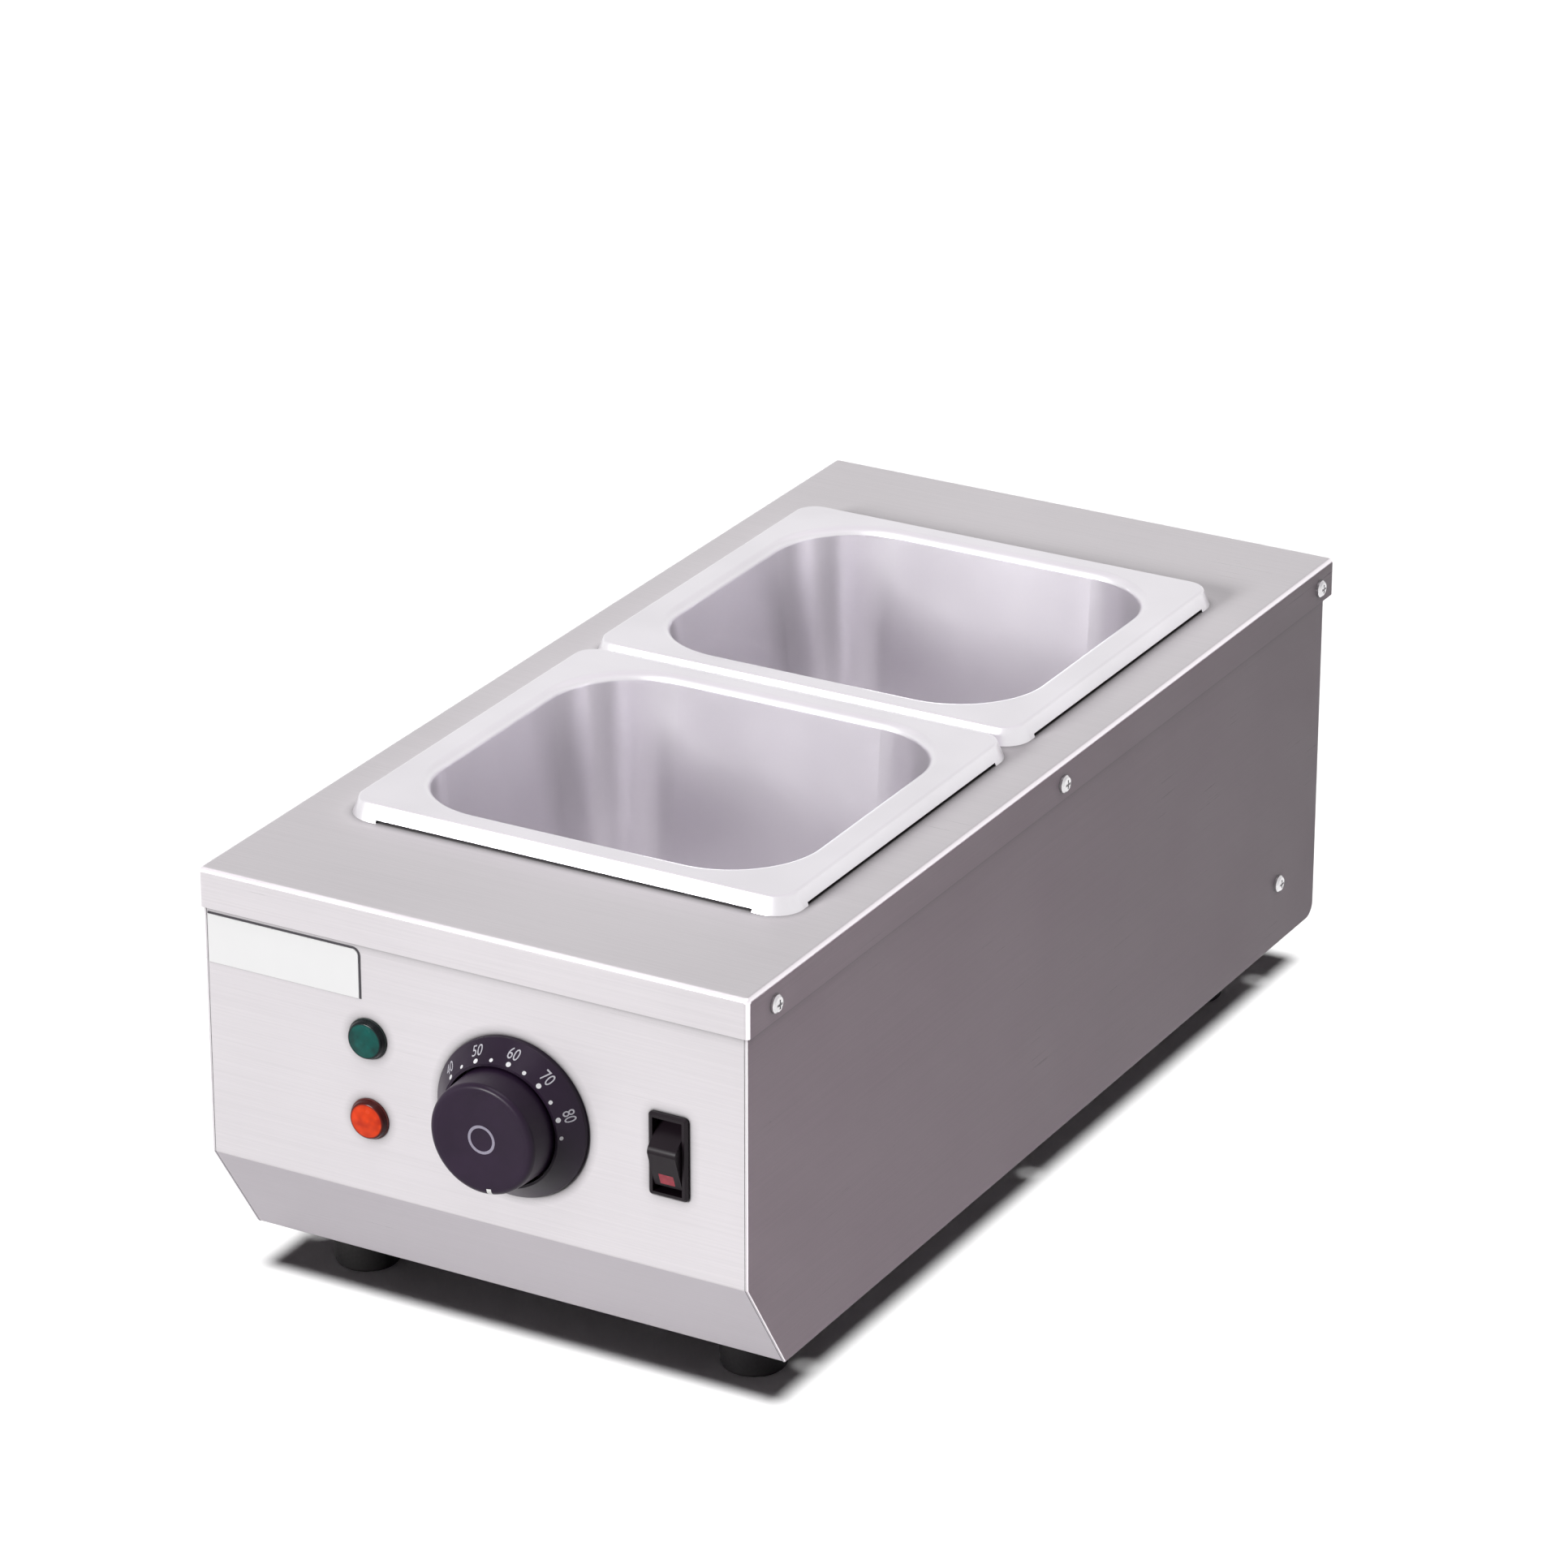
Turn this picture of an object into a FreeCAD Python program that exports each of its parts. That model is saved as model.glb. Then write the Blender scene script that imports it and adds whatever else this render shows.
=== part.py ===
import FreeCAD, Part
import math
import os

from FreeCAD import Vector

# Two-pan chocolate melter: a folded steel casing with a bath well, two lift-out pans,
# a thermostat knob in a dial ring, two lamps and a rocker switch.
# Millimetres. X runs across, Y from front to back, Z up. The feet stand on z = 0, and
# the origin is the middle of the overall box.

# Casing: margins run from the pans' rims to the edges of the cover
side_margin = 19.0
front_margin = 59.75
rear_margin = 59.75
sheet = 1.0
fold_radius = 1.8
skirt_height = 14.5
skirt_gap = 0.3
rear_overhang = 5.5
front_face_height = 107.0
slope_setback = 25.5
flange_width = 12.0
rear_corner_radius = 6.0
edge_radius = 0.5
seam_gap = 0.2
lap_gap = 0.1

# Feet
foot_height = 20.0
foot_top_radius = 13.0
foot_bottom_radius = 11.5
foot_inset_x = 29.0
foot_inset_y = 54.0
foot_recess_radius = 6.5
foot_recess_depth = 9.0
foot_edge_radius = 1.5

# Pans: sixth-size gastronorm, 100 mm deep
pan_length_x = 176.0
pan_length_y = 162.0
pan_depth = 100.0
pan_gap = 1.5
pan_sheet = 0.8
rim_height = 6.4
rim_flare = 2.5
rim_corner_radius = 8.0
rim_edge_radius = 1.2
rim_relief = 1.2
rim_seat = 14.0
rim_land_x = 14.0
rim_land_y = 12.0
opening_corner_radius = 33.0
pan_roll_radius = 3.2
pan_wall_draft = 9.0
pan_floor_radius = 15.0
cutout_clearance = 2.2

# Bath well
well_margin = 4.0
pan_underspace = 25.4
blanket_rise = 14.2
well_corner_radius = 12.0
well_floor_radius = 6.0
well_flange_width = 11.0
stud_radius = 2.0
stud_length = 6.5
nut_flats = 7.0
nut_height = 3.2
insulation_thickness = 9.0
insulation_gap = 0.3
insulation_drop = 6.0

# Heating element
element_radius = 3.75
element_height = 15.0
element_leg_x = 26.0
element_wide_x = 56.0
element_bend_radius = 15.0
element_end_gap = 38.0
element_crank_length = 45.0
element_front_reach = 24.0
element_crank_half = 15.0
element_gland_radius = 5.0
element_gland_hex = 14.0
element_gland_height = 4.0
element_gland_length = 11.0
element_seat_gap = 0.1
rest_half_width = 4.0
rest_foot = 5.0
rest_overhang = 8.0
rest_pitch = 94.7

# Flat push-on tabs
tab_width = 6.3
tab_thickness = 0.8
tab_length = 9.0
small_tab_width = 4.8

# Control panel
control_drop = 64.0
dial_offset = 16.3
lamp_inset = 66.2
lamp_pitch = 29.9
switch_inset = 30.7

# Dial ring and knob
dial_radius = 29.0
dial_edge = 1.8
dial_height = 9.2
dial_bore_radius = 21.6
dial_lip = 0.9
dial_floor = 1.6
dial_wall = 1.5
dial_edge_radius = 0.7
knob_proud = 21.2
knob_base_radius = 21.0
knob_face_radius = 20.0
knob_edge_radius = 2.0
knob_wall = 2.0
knob_boss_radius = 5.6
knob_running_gap = 0.5
knob_dish = 0.6
clip_start = 5.1
clip_length = 5.0
clip_thickness = 0.8
clip_gap = 4.0
knob_rib_half = 0.6
knob_ribs = 6
pointer_width = 1.8
pointer_length = 2.4
pointer_depth = 5.0
off_angle = 171.0

# Thermostat
shaft_radius = 3.0
shaft_flat = 1.0
shaft_clearance = 0.05
neck_radius = 5.0
hole_clearance = 0.3
thermostat_width = 46.0
thermostat_height = 34.0
thermostat_depth = 27.0
thermostat_plate = 1.5
thermostat_screw_pitch = 28.0
case_edge_radius = 2.5
cup_radius = 14.0
cup_depth = 5.0
shaft_end_depth = 5.0
shaft_seat = 9.5
bulb_radius = 3.0
bulb_length = 90.0
bulb_start = 45.0
capillary_radius = 1.0
capillary_bend = 5.0
capillary_offset = 6.0
clip_half_width = 4.0
clip_inset = 18.0
clip_rest_gap = 2.5
clip_foot = 7.0
cutout_radius = 8.5
cutout_height = 9.0
cutout_ears = 15.0
cutout_inset = 26.0
cutout_rise = 34.0

# Lamps
lamp_flange_radius = 7.4
lamp_flange = 0.6
lens_base_radius = 7.2
lens_face_radius = 6.5
lens_proud = 3.2
lens_dome = 0.5
lens_edge_radius = 0.9
lens_spigot_radius = 4.0
lens_spigot = 3.0
lamp_barrel_radius = 5.9
lamp_barrel_length = 18.0
lamp_collar = 1.6

# Rocker switch
switch_frame_width = 14.8
switch_frame_height = 30.5
switch_frame = 1.9
switch_corner_radius = 1.4
switch_chamfer = 0.8
switch_body_width = 13.2
switch_body_height = 28.4
switch_body_depth = 20.0
switch_cavity_width = 11.2
switch_cavity_height = 27.0
switch_cavity_depth = 14.0
rocker_side_gap = 0.3
rocker_end_gap = 0.25
rocker_pivot_depth = 6.0
rocker_ridge_proud = 5.5
rocker_corner_proud = 1.0
rocker_tilt = 16.0
rocker_pin_radius = 1.5
rocker_pin_reach = 6.2
rocker_depth = 3.0
rocker_crown = 1.2
switch_catch = 1.0
window_width = 5.6
window_height = 4.4
window_depth = 3.0
window_drop = 3.1

# Screws
screw_head_radius = 3.2
screw_head_height = 1.9
screw_radius = 1.9
screw_length = 8.0
recess_half_length = 1.7
recess_half_width = 0.4
cover_screw_drop = 8.2
cover_screw_inset = 17.4
cover_screw_rear_inset = 12.4
side_screw_rear_inset = 38.6
side_screw_height = 26.0

# Supply entry
gland_x = -58.0
gland_z = 42.0
gland_bore_radius = 3.9
gland_body_hex = 24.0
gland_body_flange = 5.5
gland_cap_length = 21.0
gland_thread = 8.0
gland_seal_radius = 5.4
gland_nose = 9.0
gland_nut_height = 4.0
gland_cap_radius = 11.0
gland_mouth_radius = 4.6

# Rear terminal bracket
bracket_half_depth = 8.5
bracket_rise = 8.0
bracket_lip = 8.0
bracket_ear = 9.0
terminal_x = 26.0
terminal_length = 46.0
terminal_depth = 15.0
terminal_height = 16.0
terminal_poles = 3
terminal_hole_radius = 2.1
terminal_screw_radius = 1.65
terminal_screw_offset = 3.6
earth_stud_offset = 26.0
earth_stud_inset = 24.0
earth_stud_height = 16.0

# Vents
vent_half_length = 6.5
vent_half_width = 1.6
vent_pitch_x = 20.0
vent_pitch_z = 9.0
vent_columns = 5
vent_rows = 4
vent_x = 24.0
vent_drop = 22.0
base_vent_half_length = 16.0
base_vent_half_width = 2.0
base_vent_pitch = 25.0
base_vent_rows = 6
base_vent_x = 30.0

# Derived places
well_depth = pan_underspace + pan_depth - rim_height - sheet
casing_height = well_depth + insulation_gap + insulation_thickness + blanket_rise + 4 * sheet
cover_width = pan_length_x + 2 * side_margin
cover_length = front_margin + 2 * pan_length_y + pan_gap + rear_margin
half_width = cover_width / 2
deck_z = foot_height + casing_height
base_z = foot_height
control_z = deck_z - control_drop
knob_reach = knob_proud - sheet - skirt_gap
gland_reach = gland_body_flange + gland_cap_length - rear_overhang - sheet - lap_gap
front_y = -(cover_length + gland_reach - knob_reach) / 2
rear_y = front_y + cover_length
body_half = half_width - sheet - skirt_gap
panel_y = front_y + sheet + skirt_gap
back_y = rear_y - rear_overhang
back_plate_y = back_y - sheet - lap_gap
slope_y = panel_y + slope_setback
slope_z = deck_z - front_face_height
under_cover = deck_z - sheet
body_top = under_cover - seam_gap
inner_half = body_half - sheet

pan_pitch = pan_length_y + pan_gap
opening_half_x = pan_length_x / 2 - rim_land_x
opening_half_y = pan_length_y / 2 - rim_land_y
front_pan_y = front_y + front_margin + pan_length_y / 2
rear_pan_y = front_pan_y + pan_pitch
cut_half_x = opening_half_x + pan_sheet + cutout_clearance
cut_half_y = opening_half_y + pan_sheet + cutout_clearance
cut_radius = opening_corner_radius + pan_sheet + cutout_clearance
rim_z = deck_z + rim_height
pan_floor_z = rim_z - pan_depth

well_half_x = cut_half_x + well_margin
well_front_y = front_pan_y - cut_half_y - well_margin
well_rear_y = rear_pan_y + cut_half_y + well_margin
well_floor_z = under_cover - well_depth
element_z = well_floor_z + element_height
dial_x = dial_offset
lamp_x = lamp_inset - half_width
switch_x = half_width - switch_inset
face_y = panel_y + sheet

LEFT = -1
RIGHT = 1


def box(x0, x1, y0, y1, z0, z1):
    return Part.makeBox(x1 - x0, y1 - y0, z1 - z0, Vector(x0, y0, z0))


def rod(radius, start, end):
    axis = end - start
    return Part.makeCylinder(radius, axis.Length, start, axis)


def hexagon(flats, start, height, direction):
    """Hexagonal prism, measured across its flats, with its corners turned off."""
    corner_radius = flats / math.sqrt(3)
    side = Vector(0, 0, 1) if abs(direction.z) < 0.5 else Vector(1, 0, 0)
    other = direction.cross(side)
    points = []
    for step in range(7):
        angle = math.radians(60 * step)
        along, across = corner_radius * math.cos(angle), corner_radius * math.sin(angle)
        points.append(start + side * along + other * across)
    prism = Part.Face(Part.makePolygon(points)).extrude(direction * height)
    turned = Part.makeCylinder(corner_radius * 0.96, height, start, direction)
    return prism.common(turned)


def rounded_wire(half_x, half_y, radius, z, centre_y=0.0, centre_x=0.0):
    """Closed wire of a rectangle with round corners, level at z."""
    edges = []
    places = ((1, 1, 0), (-1, 1, 90), (-1, -1, 180), (1, -1, 270))
    arcs = []
    for side_x, side_y, start in places:
        middle = Vector(centre_x + side_x * (half_x - radius), centre_y + side_y * (half_y - radius), z)
        arc_points = []
        for turn in (0, 45, 90):
            angle = math.radians(start + turn)
            arc_points.append(middle + Vector(math.cos(angle), math.sin(angle), 0) * radius)
        arcs.append(arc_points)
    for index, arc_points in enumerate(arcs):
        edges.append(Part.Arc(*arc_points).toShape())
        edges.append(Part.LineSegment(arc_points[2], arcs[(index + 1) % 4][0]).toShape())
    return Part.Wire(edges)


def rounded_prism(half_x, half_y, radius, z0, z1, centre_y=0.0, centre_x=0.0):
    face = Part.Face(rounded_wire(half_x, half_y, radius, z0, centre_y, centre_x))
    return face.extrude(Vector(0, 0, z1 - z0))


def rounded_taper(lower, upper):
    """Solid between two level wires."""
    return Part.makeLoft([lower, upper], True, True)


def edges_at_height(shape, z):
    return [edge for edge in shape.Edges if all(abs(vertex.Z - z) < 1e-4 for vertex in edge.Vertexes)]


def upright_edges(shape):
    found = []
    for edge in shape.Edges:
        if len(edge.Vertexes) == 2:
            first, last = edge.Vertexes
            level = abs(first.X - last.X) < 1e-6 and abs(first.Y - last.Y) < 1e-6
            if level and abs(first.Z - last.Z) > 1e-3:
                found.append(edge)
    return found


def turned(points, centre, direction):
    """Solid of revolution. Points are (radius, distance along direction) from the centre."""
    side = Vector(0, 0, 1) if abs(direction.z) < 0.5 else Vector(1, 0, 0)
    outline = [centre + side * radius + direction * along for radius, along in points]
    face = Part.Face(Part.makePolygon(outline + outline[:1]))
    return face.revolve(centre, direction, 360)


def profile_prism(points, x0, x1):
    """Prism along X of an outline given as (y, z) points."""
    outline = [Vector(x0, y, z) for y, z in points]
    return Part.Face(Part.makePolygon(outline + outline[:1])).extrude(Vector(x1 - x0, 0, 0))


def heading(start, end):
    length = math.hypot(end[0] - start[0], end[1] - start[1])
    return ((end[0] - start[0]) / length, (end[1] - start[1]) / length)


def folded_strip(path, thickness, x0, x1):
    """Sheet folded along (y, z) points and extruded along X. The metal lies left of the path."""
    near_edges = []
    far_edges = []

    def place(point):
        return Vector(x0, point[0], point[1])

    def offset(point, way):
        return (point[0] - way[1] * thickness, point[1] + way[0] * thickness)

    last_near = path[0]
    last_far = offset(path[0], heading(path[0], path[1]))
    start_cap = Part.LineSegment(place(last_far), place(last_near)).toShape()
    for before, corner, after in zip(path, path[1:], path[2:]):
        way_in = heading(before, corner)
        way_out = heading(corner, after)
        turn = math.atan2(way_in[0] * way_out[1] - way_in[1] * way_out[0],
                          way_in[0] * way_out[0] + way_in[1] * way_out[1])
        side = 1 if turn > 0 else -1
        near_radius = fold_radius if turn > 0 else fold_radius - thickness
        reach = near_radius * math.tan(abs(turn) / 2)
        centre = (corner[0] - way_in[0] * reach - way_in[1] * side * near_radius,
                  corner[1] - way_in[1] * reach + way_in[0] * side * near_radius)
        out_line = heading(centre, corner)
        ends = []
        for radius in (near_radius, near_radius - side * thickness):
            start = (centre[0] + way_in[1] * side * radius, centre[1] - way_in[0] * side * radius)
            middle = (centre[0] + out_line[0] * radius, centre[1] + out_line[1] * radius)
            end = (centre[0] + way_out[1] * side * radius, centre[1] - way_out[0] * side * radius)
            ends.append((start, middle, end))
        near_edges.append(Part.LineSegment(place(last_near), place(ends[0][0])).toShape())
        near_edges.append(Part.Arc(*[place(point) for point in ends[0]]).toShape())
        far_edges.append(Part.LineSegment(place(last_far), place(ends[1][0])).toShape())
        far_edges.append(Part.Arc(*[place(point) for point in ends[1]]).toShape())
        last_near = ends[0][2]
        last_far = ends[1][2]
    end_far = offset(path[-1], heading(path[-2], path[-1]))
    near_edges.append(Part.LineSegment(place(last_near), place(path[-1])).toShape())
    far_edges.append(Part.LineSegment(place(last_far), place(end_far)).toShape())
    end_cap = Part.LineSegment(place(path[-1]), place(end_far)).toShape()
    wire = Part.Wire(Part.__sortEdges__(near_edges + [end_cap] + far_edges + [start_cap]))
    return Part.Face(wire).extrude(Vector(x1 - x0, 0, 0))


def pan_head_screw(place, outward, length=screw_length, radius=screw_radius,
                   head=screw_head_radius, height=screw_head_height):
    """Screw whose head sits on `place` and whose shank runs the other way."""
    shank = rod(radius, place - outward * length, place)
    cap = turned([(0, 0), (head, 0), (head, height * 0.45), (head * 0.8, height * 0.85),
                  (head * 0.45, height), (0, height)], place, outward)
    side = Vector(0, 0, 1) if abs(outward.z) < 0.5 else Vector(1, 0, 0)
    screw = shank.fuse(cap)
    start = place + outward * (height / 2)
    for along, across in ((side, outward.cross(side)), (outward.cross(side), side)):
        arm = bar_prism(start, along * recess_half_length, across * recess_half_width, outward * height)
        screw = screw.cut(arm)
    return screw


def bar_prism(middle, along, across, rise):
    """Block on the rectangle that reaches `along` and `across` each way from its middle."""
    corners = [middle + along * a + across * b for a, b in ((-1, -1), (1, -1), (1, 1), (-1, 1))]
    return Part.Face(Part.makePolygon(corners + corners[:1])).extrude(rise)


def cover_screw_places():
    """Middle of each screw in the two long skirts, with the way its head faces."""
    places = []
    along = (front_y + cover_screw_inset, front_y + cover_length / 2, rear_y - cover_screw_rear_inset)
    for side in (LEFT, RIGHT):
        for y in along:
            places.append((Vector(side * half_width, y, deck_z - cover_screw_drop), Vector(side, 0, 0)))
    return places


def side_screw_places():
    places = []
    for side in (LEFT, RIGHT):
        place = Vector(side * body_half, rear_y - side_screw_rear_inset, base_z + side_screw_height)
        places.append((place, Vector(side, 0, 0)))
    return places


def back_screw_places():
    places = []
    for side in (LEFT, RIGHT):
        for z in (base_z + 20, deck_z - skirt_height - 12):
            places.append((Vector(side * (inner_half - flange_width / 2), back_y, z), Vector(0, 1, 0)))
    return places


def base_screw_places():
    places = []
    for side in (LEFT, RIGHT):
        for y in (slope_y + 30, front_y + cover_length / 2, back_y - 30):
            places.append((Vector(side * (inner_half - flange_width / 2), y, base_z), Vector(0, 0, -1)))
    return places


def tab(base, upright, width=tab_width, length=tab_length):
    """Flat tab that runs back from `base`, standing on edge or lying flat."""
    half_x = tab_thickness / 2 if upright else width / 2
    half_z = width / 2 if upright else tab_thickness / 2
    return box(base.x - half_x, base.x + half_x, base.y, base.y + length, base.z - half_z, base.z + half_z)


def foot_places():
    places = []
    for side in (LEFT, RIGHT):
        for y in (front_y + foot_inset_y, rear_y - foot_inset_y):
            places.append(Vector(side * (half_width - foot_inset_x), y, 0))
    return places


def stud_places():
    """Studs under the cover that the well hangs from."""
    places = []
    x = well_half_x + sheet + well_flange_width / 2
    span = well_rear_y - well_front_y
    for side in (LEFT, RIGHT):
        for share in (0.06, 0.35, 0.65, 0.94):
            places.append(Vector(side * x, well_front_y + span * share, under_cover))
    return places


def drill(shape, places, radius, depth):
    """Cuts a round hole through the sheet at each screw place."""
    for place, outward in places:
        shape = shape.cut(rod(radius, place - outward * depth, place + outward * depth))
    return shape


def top_cover():
    outer = box(-half_width, half_width, front_y, rear_y, deck_z - skirt_height, deck_z)
    outer = outer.makeFillet(fold_radius, edges_at_height(outer, deck_z) + upright_edges(outer))
    inner = box(-half_width + sheet, half_width - sheet, front_y + sheet, rear_y - sheet,
                deck_z - skirt_height - 1, under_cover)
    cover = outer.cut(inner)
    for centre_y in (front_pan_y, rear_pan_y):
        cut = rounded_prism(cut_half_x, cut_half_y, cut_radius, under_cover - 1, deck_z + 1, centre_y)
        cover = cover.cut(cut)
    cover = drill(cover, cover_screw_places(), screw_radius + hole_clearance / 2, 3 * sheet)
    for place in stud_places():
        cover = cover.fuse(rod(stud_radius, place - Vector(0, 0, stud_length), place))
    return cover.removeSplitter()


def front_panel():
    path = [(panel_y + flange_width, body_top), (panel_y, body_top), (panel_y, slope_z),
            (slope_y, base_z), (slope_y + flange_width, base_z)]
    half = inner_half - seam_gap
    panel = folded_strip(path, sheet, -half, half)
    for side in (LEFT, RIGHT):
        x0, x1 = sorted((side * half, side * (half - sheet)))
        outline = [(panel_y + sheet / 2, body_top - 2), (panel_y + flange_width, body_top - 2),
                   (panel_y + flange_width, slope_z), (slope_y + flange_width - 2, base_z + sheet / 2),
                   (slope_y + sheet / 2, base_z + sheet / 2), (panel_y + sheet / 2, slope_z)]
        panel = panel.fuse(profile_prism(outline, x0, x1))
    back = Vector(0, 1, 0)
    front = panel_y - 1

    def hole(radius, x, z):
        return Part.makeCylinder(radius, 4, Vector(x, front, z), back)

    panel = panel.cut(hole(neck_radius + hole_clearance, dial_x, control_z))
    for side in (LEFT, RIGHT):
        screw_x = dial_x + side * thermostat_screw_pitch / 2
        panel = panel.cut(hole(screw_radius + hole_clearance, screw_x, control_z))
        panel = panel.cut(hole(lamp_barrel_radius + hole_clearance, lamp_x, lamp_centre(side).z))
    half_cut_x = switch_body_width / 2 + hole_clearance / 2
    half_cut_z = switch_body_height / 2 + hole_clearance / 2
    panel = panel.cut(box(switch_x - half_cut_x, switch_x + half_cut_x, front, front + 4,
                          control_z - half_cut_z, control_z + half_cut_z))
    return panel.removeSplitter()


def matches_any(edge, wanted):
    """True where an edge lies on one of the wanted edges, whole or shortened."""
    for other in wanted:
        if all(other.distToShape(vertex)[0] < 1e-4 for vertex in edge.Vertexes):
            return True
    return False


def side_panel(side):
    outline = [(panel_y, body_top), (panel_y, slope_z), (slope_y, base_z), (back_y, base_z),
               (back_y, body_top)]
    outer, inner = sorted((side * body_half, side * inner_half))
    plate = profile_prism(outline, outer, inner)
    rear_foot = [edge for edge in edges_at_height(plate, base_z)
                 if all(abs(vertex.Y - back_y) < 1e-4 for vertex in edge.Vertexes)]
    plate = plate.makeFillet(rear_corner_radius, rear_foot)
    flange_x = sorted((side * body_half, side * (inner_half - flange_width)))
    foot_flange = box(flange_x[0], flange_x[1], slope_y + flange_width + 1, back_y - rear_corner_radius,
                      base_z, base_z + sheet)
    rear_flange = box(flange_x[0], flange_x[1], back_y - sheet, back_y, base_z + rear_corner_radius, body_top)
    panel = plate.fuse(foot_flange).fuse(rear_flange).removeSplitter()
    folds = []
    raw_edges = []
    for edge in panel.Edges:
        if all(abs(abs(vertex.X) - body_half) < 1e-4 for vertex in edge.Vertexes):
            along_foot = all(abs(vertex.Z - base_z) < 1e-4 for vertex in edge.Vertexes)
            along_rear = all(abs(vertex.Y - back_y) < 1e-4 for vertex in edge.Vertexes)
            at_front = all(vertex.Y < slope_y + 1e-4 for vertex in edge.Vertexes)
            if (along_foot or along_rear) and edge.Length > flange_width:
                folds.append(edge)
            elif at_front:
                raw_edges.append(edge)
    panel = panel.makeFillet(sheet * 0.9, folds)
    panel = panel.makeFillet(edge_radius, [edge for edge in panel.Edges if matches_any(edge, raw_edges)])
    panel = drill(panel, cover_screw_places(), screw_radius, 4 * sheet)
    panel = drill(panel, side_screw_places(), screw_radius + hole_clearance / 2, 3 * sheet)
    panel = drill(panel, back_screw_places(), screw_radius, 3 * sheet)
    return drill(panel, base_screw_places(), screw_radius + hole_clearance / 2, 1.5 * sheet)


def slot(centre, half_length, radius, depth, along, through):
    """Round-ended slot that lies along `along` and cuts through along `through`."""
    across = through.cross(along)
    core = bar_prism(centre - through * depth, along * half_length, across * radius, through * (2 * depth))
    for end in (-1, 1):
        middle = centre + along * (end * half_length)
        core = core.fuse(rod(radius, middle - through * depth, middle + through * depth))
    return core


def back_panel():
    """Rear closing plate, inside the side panels' rear flanges, with vents and the supply hole."""
    outer_y = back_plate_y
    half = inner_half - seam_gap
    low = base_z + 2 * sheet + seam_gap
    path = [(outer_y - flange_width, low), (outer_y, low), (outer_y, body_top),
            (outer_y - flange_width, body_top)]
    panel = folded_strip(path, sheet, -half, half)
    middle_y = outer_y - sheet / 2
    for row in range(vent_rows):
        z = deck_z - skirt_height - vent_drop - row * vent_pitch_z
        for column in range(vent_columns):
            x = vent_x + (column - (vent_columns - 1) / 2) * vent_pitch_x
            vent = slot(Vector(x, middle_y, z), vent_half_length, vent_half_width, 3 * sheet,
                        Vector(1, 0, 0), Vector(0, 1, 0))
            panel = panel.cut(vent)
    panel = panel.cut(rod(gland_thread + hole_clearance, gland_axis(middle_y - 4), gland_axis(middle_y + 4)))
    return drill(panel, back_screw_places(), screw_radius, 4 * sheet)


def base_plate():
    half = inner_half - 2 * seam_gap - sheet
    plate = box(-half, half, slope_y + 2, back_plate_y - sheet - 2, base_z + sheet, base_z + 2 * sheet)
    for place in foot_places():
        above = place + Vector(0, 0, base_z)
        plate = plate.cut(rod(stud_radius + hole_clearance, above, above + Vector(0, 0, 4 * sheet)))
    for row in range(base_vent_rows):
        y = front_y + cover_length / 2 + (row - (base_vent_rows - 1) / 2) * base_vent_pitch
        for side in (LEFT, RIGHT):
            vent = slot(Vector(side * base_vent_x, y, base_z + 1.5 * sheet), base_vent_half_length,
                        base_vent_half_width, 3 * sheet, Vector(1, 0, 0), Vector(0, 0, 1))
            plate = plate.cut(vent)
    return drill(plate, base_screw_places(), screw_radius, 3 * sheet)


def foot(place):
    top = foot_height + sheet
    shape = turned([(0, 0), (foot_bottom_radius, 0), (foot_top_radius, top), (0, top)],
                   place, Vector(0, 0, 1))
    shape = shape.makeFillet(foot_edge_radius, edges_at_height(shape, 0))
    recess = rod(foot_recess_radius, place - Vector(0, 0, 1), place + Vector(0, 0, foot_recess_depth))
    bore = rod(stud_radius + hole_clearance, place, place + Vector(0, 0, top + 1))
    return shape.cut(recess).cut(bore)


def foot_screws():
    down = Vector(0, 0, -1)
    length = foot_height + 2 * sheet - foot_recess_depth + 1.5 * nut_height
    return [pan_head_screw(place + Vector(0, 0, foot_recess_depth), down, length, stud_radius,
                           2 * stud_radius, 1.3 * stud_radius)
            for place in foot_places()]


def foot_nuts():
    nuts = []
    for place in foot_places():
        start = place + Vector(0, 0, base_z + 2 * sheet)
        nut = hexagon(nut_flats, start, nut_height, Vector(0, 0, 1))
        nuts.append(nut.cut(rod(stud_radius, start, start + Vector(0, 0, nut_height + 1))))
    return nuts


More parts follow.
